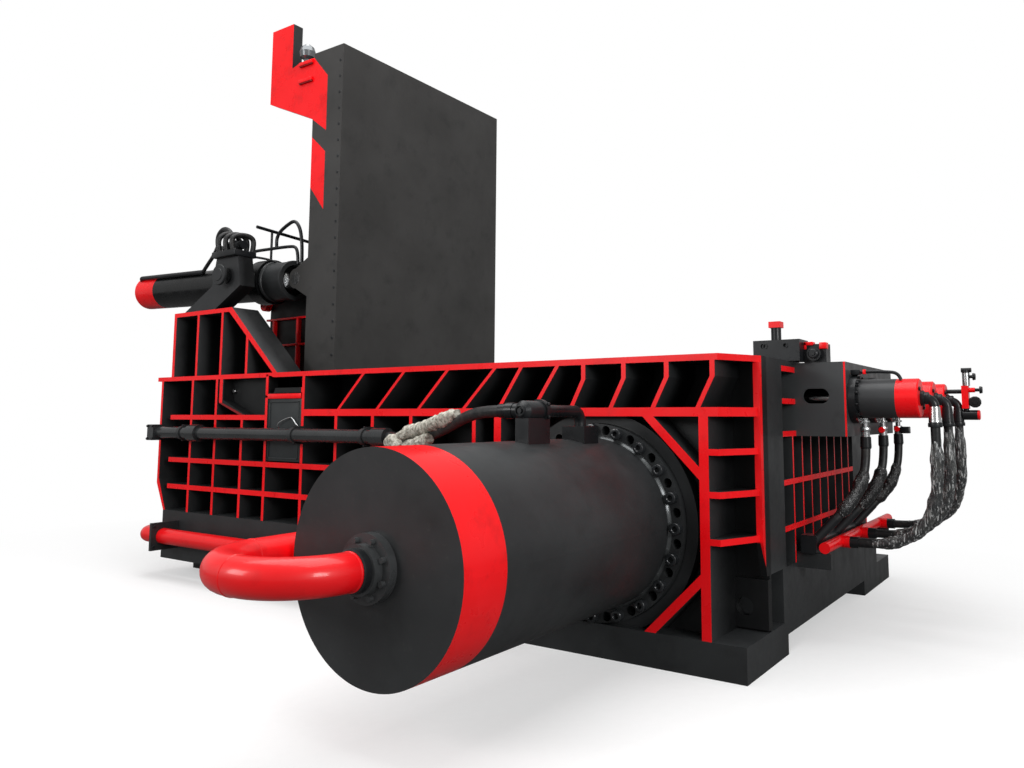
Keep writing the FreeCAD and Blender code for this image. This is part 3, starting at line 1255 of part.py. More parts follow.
def top_valve():
    """Valve on the main barrel, with its pipe that runs on along the barrel to a socket."""
    zero = 0 * d.top_valve_r
    length = d.top_valve_far - d.top_valve_near
    profile = [(zero, zero), (zero, d.top_valve_r * 0.6), (zero + 22, d.top_valve_r),
               (length - 55, d.top_valve_r), (length - 55, d.top_valve_r + 10),
               (length - 25, d.top_valve_r + 10), (length - 25, d.top_valve_r),
               (length, d.top_valve_r), (length, zero)]
    seat_x = (d.top_valve_x - d.top_seat / 2, d.top_valve_x + d.top_seat / 2)
    seat = block(seat_x, (d.top_valve_near + 10, d.top_valve_far),
                 (d.axis_z + d.barrel_r - 60, d.top_valve_z - d.top_valve_r + 15))
    port = bar("X", (0 * d.top_port_r, d.top_valve_x), (d.top_port_y, d.top_valve_z),
               d.top_port_r)
    half = d.top_socket / 2
    socket = block((d.top_valve_x - half, d.top_valve_x + half),
                   (d.top_pipe_drop_y - half, d.top_pipe_drop_y + half),
                   (d.axis_z + d.barrel_r - 60, d.top_socket_z))
    pipe = bent_pipe([(d.top_valve_x, d.top_valve_far, d.top_valve_z),
                      (d.top_valve_x, d.top_pipe_drop_y, d.top_valve_z),
                      (d.top_valve_x, d.top_pipe_drop_y, d.top_socket_z)],
                     d.top_pipe_r, [d.top_pipe_bend])
    valve = turned("Y", profile, (d.top_valve_x, d.top_valve_near, d.top_valve_z))
    body = join([valve, seat, port, pipe, socket])
    barrel = bar("Y", (d.top_valve_near, d.main_flange_y), (0, d.axis_z),
                 d.barrel_r + d.round_gap)
    return node("top_valve", cut(body, [barrel]))


def wall_hose():
    """The hose that hangs from the valve on the main barrel to the wall pipe's elbow."""
    start = V(0, float(d.top_port_y), float(d.top_valve_z))
    end = V(*(float(value) for value in wall_elbow[2]))
    lead = V(*(float(value) for value in wall_elbow[1])) - end
    lead.normalize()
    points = [start, V(-210, -1200, 1530), V(-450, -1085, 1495), V(-680, -935, 1445),
              V(-930, -800, 1390), V(-1190, -672, 1345), end - lead * 170, end]
    return node("wall_hose", bent_pipe([tuple(point) for point in points], d.wall_hose_r))


def deck_valve():
    """Valve chest on the deck with a post on top and a small valve beside it."""
    top = d.deck_z + d.deck_valve_high
    right = d.deck_valve_left + d.deck_valve
    chest = block((d.deck_valve_left, right), (d.deck_valve_near, d.deck_valve_near +
                                               d.deck_valve_deep), (d.deck_z, top))
    middle = d.deck_valve_near + d.deck_post_r + 6
    post = bar("Z", (top, top + d.deck_post), (d.deck_post_x, middle), d.deck_post_r)
    cap = block((d.deck_post_x - d.deck_post_r - 6, d.deck_post_x + d.deck_post_r + 6),
                (middle - d.deck_post_r - 6, middle + d.deck_post_r + 6),
                (top + d.deck_post, top + d.deck_post + d.deck_cap))
    side_y = (housing_near, housing_near + d.side_valve_deep)
    side = block((right, right + d.side_valve), side_y,
                 (d.housing_top, d.housing_top + d.side_valve_high))
    disc = bar("Y", (side_y[0] - 40, side_y[0]),
               (right + d.side_valve / 2, d.housing_top + d.side_disc_r + 10), d.side_disc_r)
    recesses = [bar("Y", (d.deck_valve_near, d.deck_valve_near + d.deck_recess),
                    (d.deck_valve_left + d.deck_valve * share, top - 40), d.deck_recess_r)
                for share in (0.22, 0.7)]
    return node("deck_valve", cut(join([chest, post, cap, side, disc]), recesses))


def end_valve():
    """Valve at the tail of the last lock cylinder, held off its cap by a round bar."""
    lock_y = lock_places[2]
    left = d.lock_tail_x + d.end_valve_gap
    right = left + d.end_valve
    low, high = d.lock_z - d.end_valve_low, d.lock_z + d.end_valve_high
    middle = left + d.end_valve / 2
    pieces = [bar("X", (d.lock_tail_x, left), (lock_y, d.lock_z + d.end_valve_high / 1.6), 16),
              block((left, right), (lock_y - d.end_valve_half, lock_y + d.end_valve_half),
                    (low, high)),
              bar("Z", (high, high + d.end_post), (middle + 8, lock_y), d.end_post_r),
              bar("X", (left, right + 24), (lock_y, high + d.end_post), 17),
              bar("X", (right, right + 42), (lock_y, high - 32), 18),
              bar("Y", (lock_y - 24, lock_y + 24), (right + d.end_disc_r - 6, d.lock_z - 9),
                  d.end_disc_r),
              bar("Z", (d.lock_z - d.end_pilot_drop, low), (middle, lock_y), 20),
              bar("X", (left, left + d.end_pilot), (lock_y, d.lock_z - d.end_pilot_drop),
                  d.end_pilot_r)]
    return node("end_valve", join(pieces))


def wall_stiffener():
    """Skin plate and bent edge in the open bay left of the hinge."""
    right = d.rib_d - d.rib_plate / 2
    inner = d.bay_left + d.bay_edge
    edge = [(d.bay_left, under_deck), (d.bay_left, d.bay_low),
            (d.bay_toe_left, d.upper_bar_z), (d.bay_toe_right, d.upper_bar_z),
            (inner, d.bay_low + 28), (inner, under_deck)]
    skin = [(inner, under_deck), (inner, d.bay_low + 28), (d.bay_toe_right, d.upper_bar_z),
            (right, d.upper_bar_z), (right, under_deck)]
    pieces = [plate("XZ", edge, d.front_y, d.bay_deep),
              plate("XZ", skin, d.front_y + d.bay_deep - d.bay_skin, d.bay_skin)]
    return node("wall_stiffener", join(pieces))


# ---- the whole machine ----

base_frame()
chamber_floor()
for wall_side in ("near", "far"):
    side_wall(wall_side)
left_end_wall()
right_end_wall()
press_end_liner()
top_beam()
housing_roof()
for tower_side in ("near", "far"):
    outer_tower(tower_side)
    inner_tower(tower_side)
    lid_cylinder(tower_side)
    lid_rod(tower_side)
    eye_pin(tower_side)
hinge_bearings()
hinge_shaft()
lid()
lug_pin_ends()
lid_hook()
landing_buffer()
main_cylinder()
flange_bolts()
port_flange()
main_ram()
press_platen()
side_pusher()
side_cylinder()
side_ram()
lock_housing()
for number, place_y in enumerate(lock_places, start=1):
    lock_cylinder(number, place_y)
    lock_bolt(number, place_y)
door_frame()
discharge_door()
door_cylinder()
door_rod()
feed_pipe()
base_pipe()
base_pipe_brackets()
wall_pipe()
wall_pipe_saddles()
wall_stiffener()
lock_hoses()
hose_ferrules()
rear_manifold()
front_manifold()
manifold_brackets()
top_valve()
wall_hose()
deck_valve()
end_valve()

document.recompute()
for thing in document.Objects:
    if "Invalid" in thing.State or "Error" in thing.State:
        raise RuntimeError(f"{thing.Name} ({thing.Label}) failed: {thing.State}")
os.makedirs("parts", exist_ok=True)
for thing in nodes:
    if thing.Shape.isNull() or not thing.Shape.isValid():
        raise RuntimeError(f"{thing.Label} has no valid shape")
    thing.Shape.exportStep(f"parts/{thing.Label}.step")
print(len(nodes), "nodes")
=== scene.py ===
import bpy
import bmesh
import json
import math
from mathutils import Matrix, Vector, noise


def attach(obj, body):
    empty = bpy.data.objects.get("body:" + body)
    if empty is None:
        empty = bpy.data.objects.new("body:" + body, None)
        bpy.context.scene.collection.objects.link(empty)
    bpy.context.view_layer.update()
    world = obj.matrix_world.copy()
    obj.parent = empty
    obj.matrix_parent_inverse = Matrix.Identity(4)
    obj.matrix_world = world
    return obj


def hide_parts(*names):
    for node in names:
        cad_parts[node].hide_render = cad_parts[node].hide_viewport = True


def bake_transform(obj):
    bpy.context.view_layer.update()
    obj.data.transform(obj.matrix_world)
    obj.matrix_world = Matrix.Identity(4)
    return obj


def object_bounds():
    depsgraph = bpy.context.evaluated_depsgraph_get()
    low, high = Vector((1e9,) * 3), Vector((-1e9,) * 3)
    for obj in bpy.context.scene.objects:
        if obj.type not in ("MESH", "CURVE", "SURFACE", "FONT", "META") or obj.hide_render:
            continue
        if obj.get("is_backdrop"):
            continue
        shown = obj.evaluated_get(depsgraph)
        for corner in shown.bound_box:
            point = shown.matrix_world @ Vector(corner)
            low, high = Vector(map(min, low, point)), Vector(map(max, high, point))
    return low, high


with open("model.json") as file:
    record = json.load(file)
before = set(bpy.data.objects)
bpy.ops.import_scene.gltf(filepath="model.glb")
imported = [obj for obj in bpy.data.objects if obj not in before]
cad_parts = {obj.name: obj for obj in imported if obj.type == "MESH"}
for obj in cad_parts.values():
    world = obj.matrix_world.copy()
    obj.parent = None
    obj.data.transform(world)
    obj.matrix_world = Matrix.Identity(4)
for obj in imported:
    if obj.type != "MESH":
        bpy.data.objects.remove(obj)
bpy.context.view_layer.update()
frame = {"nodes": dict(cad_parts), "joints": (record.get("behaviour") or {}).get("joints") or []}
nodes = frame["nodes"]
scene = bpy.context.scene

# the camera, solved from the machine's straight edges and circles
cameraView = {
    "place": (2.7176, -4.8520, 1.5), "lens": 28.337, "sensor": 36, "shift": (-0.04565, -0.0511),
    "farthest": 200,
    "right": (0.83371145, 0.55219807, 0.00158558), "down": (-0.05627891, 0.08782591, -0.99454477),
    "ahead": (-0.54932496, 0.82907412, 0.10429857),
}
cameraData = bpy.data.cameras.new("photoCamera")
cameraData.lens = cameraView["lens"]
cameraData.sensor_width = cameraView["sensor"]
cameraData.shift_x, cameraData.shift_y = cameraView["shift"]
cameraData.clip_end = cameraView["farthest"]
camera = bpy.data.objects.new("photoCamera", cameraData)
scene.collection.objects.link(camera)
columns = [Vector(cameraView["right"]), -Vector(cameraView["down"]), -Vector(cameraView["ahead"])]
turn = Matrix(columns).transposed().to_4x4()
camera.matrix_world = Matrix.Translation(cameraView["place"]) @ turn
scene.camera = camera
print("camera")


def linear(hexColour):
    # an sRGB hex value as the linear colour that a node takes
    values = [int(hexColour[i:i + 2], 16) / 255 for i in (1, 3, 5)]
    return [v / 12.92 if v <= 0.04045 else ((v + 0.055) / 1.055) ** 2.4 for v in values] + [1.0]


def addNode(tree, kind, inputs=None, **settings):
    # an input is a value, a socket, or a node, which gives its first output in use;
    # a Mix node takes its share at 0, numbers at 2 and 3, and colours at 6 and 7
    node = tree.nodes.new(kind)
    for name, value in settings.items():
        setattr(node, name, value)
    for socket, value in (inputs or {}).items():
        if isinstance(value, bpy.types.Node):
            value = next(output for output in value.outputs if output.enabled)
        if isinstance(value, bpy.types.NodeSocket):
            tree.links.new(value, node.inputs[socket])
        else:
            node.inputs[socket].default_value = value
    return node


def freshMaterial(name):
    material = bpy.data.materials.new(name)
    material.use_nodes = True
    tree = material.node_tree
    tree.nodes.clear()
    position = addNode(tree, "ShaderNodeTexCoord").outputs["Object"]
    return material, tree, position


noiseSpan = (0.3, 0.7)  # nearly all of a noise texture's values lie between these


def patches(tree, position, sizeMm, detail, low, high, rough=0.5, least=0.0, most=1.0):
    # soft spots about sizeMm across, from least to most while the noise goes from low to high
    pattern = addNode(tree, "ShaderNodeTexNoise", {
        "Vector": position, "Scale": 1000 / sizeMm, "Detail": detail, "Roughness": rough})
    return addNode(tree, "ShaderNodeMapRange", {
        "Value": pattern, "From Min": low, "From Max": high, "To Min": least, "To Max": most})


def insideRegions(tree, position, regions):
    # 1 inside any region; a region is a list of (direction, least distance along it), all of which hold
    total = None
    for region in regions:
        product = None
        for direction, least in region:
            along = addNode(tree, "ShaderNodeVectorMath", {0: position, 1: direction}, operation="DOT_PRODUCT")
            past = addNode(tree, "ShaderNodeMath", {0: along, 1: least}, operation="GREATER_THAN")
            product = past if product is None else addNode(
                tree, "ShaderNodeMath", {0: product, 1: past}, operation="MULTIPLY")
        total = product if total is None else addNode(
            tree, "ShaderNodeMath", {0: total, 1: product}, operation="MAXIMUM")
    return total


def between(axis, low, high):
    # the two half spaces of a slice along x, y or z
    direction = tuple(1 if letter == axis else 0 for letter in "xyz")
    return [(direction, low), (tuple(-part for part in direction), -high)]


def beyond(direction, point, more=0.0):
    # the half space past a point, seen along the direction
    return direction, Vector(direction).dot(Vector(point)) + more


# looks that the paints start from: base and worn are the paint's two tones, grime and dust lie on it
greyEnamel = {"base": "#28292a", "worn": "#303233", "grime": "#191a1a", "dust": "#5a5954",
              "roughness": 0.44, "roughSpread": 0.16, "dustiness": 0.2, "metal": 0.0}
# near black look that is painted shade: deep bays, a bar, a sheet and rib sides in shade take it
shadeDarkEnamel = {"base": "#0c0d0e", "worn": "#131415", "grime": "#070808", "dust": "#3a3a37",
              "roughness": 0.5, "roughSpread": 0.2, "dustiness": 0.25, "metal": 0.0}
redEnamel = {"base": "#ee060f", "worn": "#f7121b", "grime": "#a8040a", "dust": "#f04a4c",
             "roughness": 0.3, "roughSpread": 0.12, "dustiness": 0.12, "metal": 0.0}
blackEnamel = {"base": "#161719", "worn": "#1f2123", "grime": "#0b0b0c", "dust": "#484742",
               "roughness": 0.32, "roughSpread": 0.18, "dustiness": 0.2, "metal": 0.0}
brightNickel = {"base": "#b9babb", "worn": "#cfd0d0", "grime": "#76756f", "dust": "#9b9a94",
                "roughness": 0.24, "roughSpread": 0.14, "dustiness": 0.2, "metal": 1.0}
coatPatterns = {
    "clouds": {"sizeMm": 520, "detail": 3, "low": 0.34, "high": 0.66},  # passes of the spray gun
    "stains": {"sizeMm": 190, "detail": 5, "low": 0.54, "high": 0.74, "rough": 0.62, "most": 0.4},  # oil
    "dust": {"sizeMm": 38, "detail": 8, "low": 0.58, "high": 0.8, "rough": 0.72},
    "sheen": {"sizeMm": 120, "detail": 4, "low": 0.3, "high": 0.7},
}
# orange peel is 2 or 3 mm apart on the real paint; it is drawn 9 mm apart, or it would not show
coatSurface = {"wavesMm": 300, "waves": 0.12, "waveHeight": 0.004, "peelMm": 9, "peelHeight": 0.0008,
               "ior": 1.5, "specular": 0.28, "coatRoughness": 0.12}


def coatLayer(tree, position, look):
    # the colour and the roughness of one coat, with clouds, rubbed stains and settled dust
    clouds = patches(tree, position, **coatPatterns["clouds"])
    colour = addNode(tree, "ShaderNodeMix", {
        0: clouds, 6: linear(look["base"]), 7: linear(look["worn"])}, data_type="RGBA")
    stains = patches(tree, position, **coatPatterns["stains"])
    colour = addNode(tree, "ShaderNodeMix", {0: stains, 6: colour, 7: linear(look["grime"])}, data_type="RGBA")
    dust = patches(tree, position, **coatPatterns["dust"], most=look["dustiness"])
    colour = addNode(tree, "ShaderNodeMix", {0: dust, 6: colour, 7: linear(look["dust"])}, data_type="RGBA")
    half = look["roughSpread"] / 2
    rough = patches(tree, position, **coatPatterns["sheen"], least=look["roughness"] - half,
                    most=look["roughness"] + half)
    return colour, rough


def enamelOnSteel(name, look, trims=(), shadeFrom=None, peel=0.06, clear=0.04):
    # two part enamel sprayed on hot rolled plate: satin, with orange peel and the plate's slight
    # waves; trims are masked off and get their own coat, and a bare metal one comes last
    material, tree, position = freshMaterial(name)
    colour, rough = coatLayer(tree, position, look)
    metal = look["metal"]
    if shadeFrom:  # painted shade: deeper in the bays the colour goes over to a near black look, for the shade there
        direction, start, end = shadeFrom
        along = addNode(tree, "ShaderNodeVectorMath", {0: position, 1: direction}, operation="DOT_PRODUCT")
        depth = addNode(tree, "ShaderNodeMapRange", {"Value": along, "From Min": start, "From Max": end})
        paintedShadeColour = coatLayer(tree, position, shadeDarkEnamel)[0]
        colour = addNode(tree, "ShaderNodeMix", {0: depth, 6: colour, 7: paintedShadeColour}, data_type="RGBA")
    for regions, trimLook in trims:
        mask = insideRegions(tree, position, regions)
        trimColour, trimRough = coatLayer(tree, position, trimLook)
        colour = addNode(tree, "ShaderNodeMix", {0: mask, 6: colour, 7: trimColour}, data_type="RGBA")
        rough = addNode(tree, "ShaderNodeMix", {0: mask, 2: rough, 3: trimRough})
        if trimLook["metal"]:
            metal = mask
    waves = addNode(tree, "ShaderNodeTexNoise", {"Vector": position, "Scale": 1000 / coatSurface["wavesMm"]})
    wavy = addNode(tree, "ShaderNodeBump", {
        "Height": waves, "Strength": coatSurface["waves"], "Distance": coatSurface["waveHeight"]})
    skin = addNode(tree, "ShaderNodeTexNoise", {"Vector": position, "Scale": 1000 / coatSurface["peelMm"]})
    bumpy = addNode(tree, "ShaderNodeBump", {
        "Height": skin, "Strength": peel, "Distance": coatSurface["peelHeight"], "Normal": wavy})
    shader = addNode(tree, "ShaderNodeBsdfPrincipled", {
        "Base Color": colour, "Roughness": rough, "Metallic": metal, "Normal": bumpy,
        "IOR": coatSurface["ior"], "Specular IOR Level": coatSurface["specular"], "Coat Weight": clear,
        "Coat Roughness": coatSurface["coatRoughness"]})
    addNode(tree, "ShaderNodeOutputMaterial", {"Surface": shader})
    return material


def groundSteel(name, look):
    # hard chrome over ground steel rod: mirror-like, with fine rings and a film of oil
    material, tree, position = freshMaterial(name)
    stretched = addNode(tree, "ShaderNodeMapping", {"Vector": position, "Scale": look["grain"]})
    rings = addNode(tree, "ShaderNodeTexNoise", {
        "Vector": stretched, "Scale": 1000 / look["ringMm"], "Detail": look["ringDetail"],
        "Roughness": look["ringRough"]})
    film = patches(tree, position, **look["film"])
    colour = addNode(tree, "ShaderNodeMix", {
        0: film, 6: linear(look["base"]), 7: linear(look["oil"])}, data_type="RGBA")
    rough = addNode(tree, "ShaderNodeMapRange", {
        "Value": rings, "From Min": noiseSpan[0], "From Max": noiseSpan[1],
        "To Min": look["roughness"][0], "To Max": look["roughness"][1]})
    bump = addNode(tree, "ShaderNodeBump", {
        "Height": rings, "Strength": look["rings"], "Distance": look["ringHeight"]})
    shader = addNode(tree, "ShaderNodeBsdfPrincipled", {
        "Base Color": colour, "Roughness": rough, "Metallic": 1.0, "Normal": bump})
    addNode(tree, "ShaderNodeOutputMaterial", {"Surface": shader})
    return material


coverSurface = {"dirt": {"sizeMm": 70, "detail": 4, "low": 0.5, "high": 0.75, "most": 0.5},
                "creaseDetail": 6, "creaseRough": 0.68, "foldHeight": 0.01,
                "grain": 0.25, "grainHeight": 0.001, "dull": 0.12, "polish": 0.08}


def softCover(name, look):
    # rubber, plastic film or cotton rag: creases take a painted highlight, and hollows keep the dirt
    material, tree, position = freshMaterial(name)
    stretched = addNode(tree, "ShaderNodeMapping", {"Vector": position, "Scale": look["stretch"]})
    creases = addNode(tree, "ShaderNodeTexNoise", {
        "Vector": stretched, "Scale": 1000 / look["creaseMm"], "Detail": coverSurface["creaseDetail"],
        "Roughness": coverSurface["creaseRough"]})
    light = addNode(tree, "ShaderNodeMapRange", {
        "Value": creases, "From Min": look["glintFrom"], "From Max": look["glintFrom"] + look["glintWide"]})
    colour = addNode(tree, "ShaderNodeMix", {
        0: light, 6: linear(look["base"]), 7: linear(look["creaseGlint"])}, data_type="RGBA")
    dirt = patches(tree, position, **coverSurface["dirt"])
    colour = addNode(tree, "ShaderNodeMix", {0: dirt, 6: colour, 7: linear(look["stain"])}, data_type="RGBA")
    folds = addNode(tree, "ShaderNodeBump", {
        "Height": creases, "Strength": look["folds"], "Distance": coverSurface["foldHeight"]})
    grain = addNode(tree, "ShaderNodeTexNoise", {"Vector": position, "Scale": 1000 / look["grainMm"]})
    fine = addNode(tree, "ShaderNodeBump", {
        "Height": grain, "Strength": coverSurface["grain"], "Distance": coverSurface["grainHeight"],
        "Normal": folds})
    dull, polished = look["roughness"] + coverSurface["dull"], look["roughness"] - coverSurface["polish"]
    rough = addNode(tree, "ShaderNodeMapRange", {
        "Value": creases, "From Min": noiseSpan[0], "From Max": noiseSpan[1], "To Min": dull,
        "To Max": polished})
    shader = addNode(tree, "ShaderNodeBsdfPrincipled", {
        "Base Color": colour, "Roughness": rough, "Normal": fine, "Specular IOR Level": look["specular"]})
    addNode(tree, "ShaderNodeOutputMaterial", {"Surface": shader})
    return material


# nitrile hose cover: black, moulded, a little shiny along its creases, partly from lower roughness and partly
# a painted sheen
hoseRubber = softCover("blackNitrileRubber", {
    "base": "#131415", "creaseGlint": "#2c2d2e", "stain": "#3a3936", "creaseMm": 30, "stretch": (1, 1, 1),
    "glintFrom": 0.52, "glintWide": 0.16, "grainMm": 4, "folds": 0.12, "roughness": 0.42, "specular": 0.4})
# polyethylene film wound over the hose: grey from dust, with white painted highlights along its folds
greyFilm = softCover("wrinkledGreyPolyethylene", {
    "base": "#303233", "creaseGlint": "#c9cbca", "stain": "#5c5b56", "creaseMm": 40, "stretch": (3.2, 3.2, 0.36),
    "glintFrom": 0.53, "glintWide": 0.1, "grainMm": 5, "folds": 0.9, "roughness": 0.26, "specular": 0.6})
# the same film, darker with oil, on the hoses in front, with sparser painted highlights on its folds
oilyFilm = softCover("oilyBlackPolyethylene", {
    "base": "#161718", "creaseGlint": "#b4b6b5", "stain": "#33322e", "creaseMm": 28, "stretch": (1.6, 1.6, 0.6),
    "glintFrom": 0.6, "glintWide": 0.07, "grainMm": 5, "folds": 0.8, "roughness": 0.24, "specular": 0.6})
# cotton rag wound over the hose: undyed, matt, soiled in the folds, with a pale painted highlight on its
# creases; its threads are 1 mm apart, drawn at 3 mm
cottonRag = softCover("wovenCottonRag", {
    "base": "#8a877b", "creaseGlint": "#d3d0c4", "stain": "#4f4c44", "creaseMm": 30, "stretch": (1, 1, 1.4),
    "glintFrom": 0.42, "glintWide": 0.16, "grainMm": 3, "folds": 0.9, "roughness": 0.85, "specular": 0.2})
# gloss red enamel on valves and ribs: a clean, wet looking red that dust dulls a little
redGloss = enamelOnSteel("glossRedEnamel", redEnamel)
# gloss black enamel on cast valves and tubes: near black, with soft lights on its edges
blackGloss = enamelOnSteel("glossBlackEnamel", blackEnamel)
# satin grey enamel on plate: the machine's own dark grey
plainGrey = enamelOnSteel("satinGreyEnamel", greyEnamel)
# nickel plate on turned steel: bright, a little clouded from fingers
nickel = enamelOnSteel("brightNickelPlate", brightNickel)
# the rings of the grinding wheel are under 1 mm apart, drawn at 14 mm so that they show
chrome = groundSteel("hardChromedRod", {
    "base": "#c6c7c8", "oil": "#8f8c84", "roughness": (0.10, 0.26), "grain": (1, 8, 1), "ringMm": 14,
    "ringDetail": 3, "ringRough": 0.6, "rings": 0.1, "ringHeight": 0.0005,
    "film": {"sizeMm": 180, "detail": 4, "low": 0.35, "high": 0.7, "most": 0.5}})
print("looks of paint, rubber, film and rag")


joined = 0.00002  # points nearer than this become one
tiny = 0.000001  # as much as rounding can shift a length
sharpFrom = math.radians(34)
boltHead = {"narrowing": 0.96, "chamfer": 0.08}  # shares of a head's radius and height


def dress(name, data, finish, body):
    data.materials.append(finish)
    piece = bpy.data.objects.new(name, data)
    scene.collection.objects.link(piece)
    if body:  # a piece meant to span a joint is given no body, and rides on none
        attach(piece, body)
    return piece


def settle(name, shape, finish, body):
    # a bmesh becomes a piece, with smooth sides and sharp corners
    bmesh.ops.remove_doubles(shape, verts=shape.verts, dist=joined)
    bmesh.ops.recalc_face_normals(shape, faces=shape.faces)
    mesh = bpy.data.meshes.new(name)
    shape.to_mesh(mesh)
    shape.free()
    for face in mesh.polygons:
        face.use_smooth = True
    mesh.set_sharp_from_angle(angle=sharpFrom)
    return dress(name, mesh, finish, body)


def lathe(shape, profile, at, axis, steps=24, closed=False):
    # profile is (distance along the axis, radius) pairs
    at, along = Vector(at), Vector(axis).normalized()
    side = along.orthogonal().normalized()
    verts = [shape.verts.new(at + along * run + side * radius) for run, radius in profile]
    pairs = list(zip(verts, verts[1:])) + ([(verts[-1], verts[0])] if closed else [])
    edges = [shape.edges.new(pair) for pair in pairs]
    bmesh.ops.spin(shape, geom=verts + edges, cent=at, axis=along, angle=math.tau, steps=steps, use_merge=True)


def easeEdges(shape, verts, width, segments):
    edges = list({side for vert in verts for side in vert.link_edges})
    bmesh.ops.bevel(shape, geom=edges, offset=width, segments=segments, profile=0.5, affect="EDGES",
                    material=-1)


def slab(shape, low, high, edge=0.003):
    verts = bmesh.ops.create_cube(shape, size=1)["verts"]
    bmesh.ops.scale(shape, verts=verts, vec=Vector(high) - Vector(low))
    bmesh.ops.translate(shape, verts=verts, vec=(Vector(high) + Vector(low)) / 2)
    easeEdges(shape, verts, edge, 2)


def hexHead(shape, at, axis, radius, height):
    # a bolt's head narrows a little to its top, and has a small chamfer
    place = Matrix.Translation(Vector(at) + Vector(axis) * height / 2)
    turned = Vector(axis).to_track_quat("Z", "Y").to_matrix().to_4x4()
    verts = bmesh.ops.create_cone(shape, cap_ends=True, segments=6, radius1=radius,
                                  radius2=radius * boltHead["narrowing"], depth=height,
                                  matrix=place @ turned)["verts"]
    easeEdges(shape, verts, height * boltHead["chamfer"], 1)


def curveThrough(name, points, radius=0.0, sides=5):
    curve = bpy.data.curves.new(name, "CURVE")
    curve.dimensions = "3D"
    curve.resolution_u = 10
    curve.bevel_depth = radius
    curve.bevel_resolution = sides
    curve.use_fill_caps = True
    run = curve.splines.new("NURBS")
    run.points.add(len(points) - 1)
    for point, place in zip(run.points, points):
        point.co = (*place, 1.0)
    run.order_u = 3
    run.use_endpoint_u = True
    return curve


def meshOf(curve):
    holder = bpy.data.objects.new("holder", curve)
    mesh = bpy.data.meshes.new_from_object(holder)
    bpy.data.objects.remove(holder)
    return mesh


def tubeShape(curve):
    shape = bmesh.new()
    shape.from_mesh(meshOf(curve))
    return shape


def bentTube(name, points, radius, finish, body):
    return settle(name, tubeShape(curveThrough(name, points, radius)), finish, body)


def wrapAlong(name, points, start, stop, radius, look, finish, body):
    # a creased sleeve round a stretch of a hose, from share start to share stop of its length
    line = meshOf(curveThrough(name, points))
    places = [vert.co.copy() for vert in line.vertices]
    runs = [0.0]
    for a, b in zip(places, places[1:]):
        runs.append(runs[-1] + (b - a).length)
    count = max(look["ringsLeast"], round((stop - start) * runs[-1] / look["ringEvery"]))
    stops = [runs[-1] * (start + (stop - start) * index / count) for index in range(count + 1)]
    curve = bpy.data.curves.new(name, "CURVE")
    curve.dimensions = "3D"
    curve.bevel_depth = 1.0
    curve.bevel_resolution = look["sides"]
    curve.use_fill_caps = True
    run = curve.splines.new("POLY")
    run.points.add(count)
    for index, (point, far) in enumerate(zip(run.points, stops)):
        step = next(i for i in range(1, len(runs)) if runs[i] >= far - tiny or i == len(runs) - 1)
        share = (far - runs[step - 1]) / (runs[step] - runs[step - 1])
        point.co = (*places[step - 1].lerp(places[step], share), 1.0)
        taper = min(1.0, look["endSize"] + look["endRise"] * min(index, count - index) / count)
        lump = 1 + look["lumps"] * noise.noise(Vector((far * look["lumpEvery"], look["seed"], 0)))
        point.radius = radius * taper * lump
    shape = tubeShape(curve)
    bmesh.ops.remove_doubles(shape, verts=shape.verts, dist=joined)
    shape.normal_update()
    for vert in shape.verts:
        spot = Vector((vert.co.x * look["across"], vert.co.y * look["across"], vert.co.z * look["down"]))
        height = noise.noise(spot + Vector((0, 0, look["seed"])))
        height += look["fineShare"] * noise.noise(spot * look["fineEvery"])
        vert.co += vert.normal * look["crease"] * height
    return settle(name, shape, finish, body)


# the lock cylinders' hoses, with film wound over them; routes are steps from where a hose starts
lockHoses = {"diameter": 0.06, "acrossPlaces": (0.83, 1.37, 1.91)}
lockHoseRows = {
    "front": {
        "start": (1.424, 1.365), "shifts": (1, 1, 1), "lengths": (0.609, 0.609, 0.609),
        "sleeveFrom": (0.36, 0.36, 0.36), "sleeveTo": 0.96, "sleeveR": 0.043, "seed": 3.1, "film": oilyFilm,
        "route": [(0, 0, 0), (0, 0, -0.125), (-0.014, -0.04, -0.27), (-0.075, -0.101, -0.42),
                  (-0.174, -0.155, -0.537)]},
    "rear": {
        "start": (1.856, 1.55), "shifts": (0.13, 0.12, 0.23), "lengths": (1.256, 1.254, 1.277),
        "sleeveFrom": (0.13, 0.06, 0.06), "sleeveTo": 0.95, "sleeveR": 0.04, "seed": 7.7, "film": greyFilm,
        "route": [(0, 0, 0), (0, 0, -0.181), (0, 0.12, -0.3982), (-0.0159, 0.33, -0.5665),
                  (-0.085, 0.63, -0.7457), (-0.223, 0.9, -0.8598), (-0.377, 1, -0.905), (-0.531, 1, -0.905)]},
}
filmFold = {"ringEvery": 0.012, "sides": 9, "lumps": 0.16, "lumpEvery": 14, "across": 34, "down": 12,
            "crease": 0.006, "fineShare": 0.5, "fineEvery": 2.3, "endSize": 0.55, "endRise": 3.2,
            "ringsLeast": 8}
for index, across in enumerate(lockHoses["acrossPlaces"]):
    for row, values in lockHoseRows.items():
        number = index + 1
        x, z = values["start"]
        shift = values["shifts"][index]
        points = [(x + dx, across + shift * dy, z + dz) for dx, dy, dz in values["route"]]
        name = f"{row}_lock_hose_{number}"
        hose = dress(name, curveThrough(name, points, lockHoses["diameter"] / 2), hoseRubber, "frame")
        sleeve = wrapAlong(f"{row}_hose_film_{number}", points, values["sleeveFrom"][index],
                           values["sleeveTo"], values["sleeveR"],
                           {**filmFold, "seed": values["seed"] * number}, values["film"], "frame")
        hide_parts("lock_hoses")

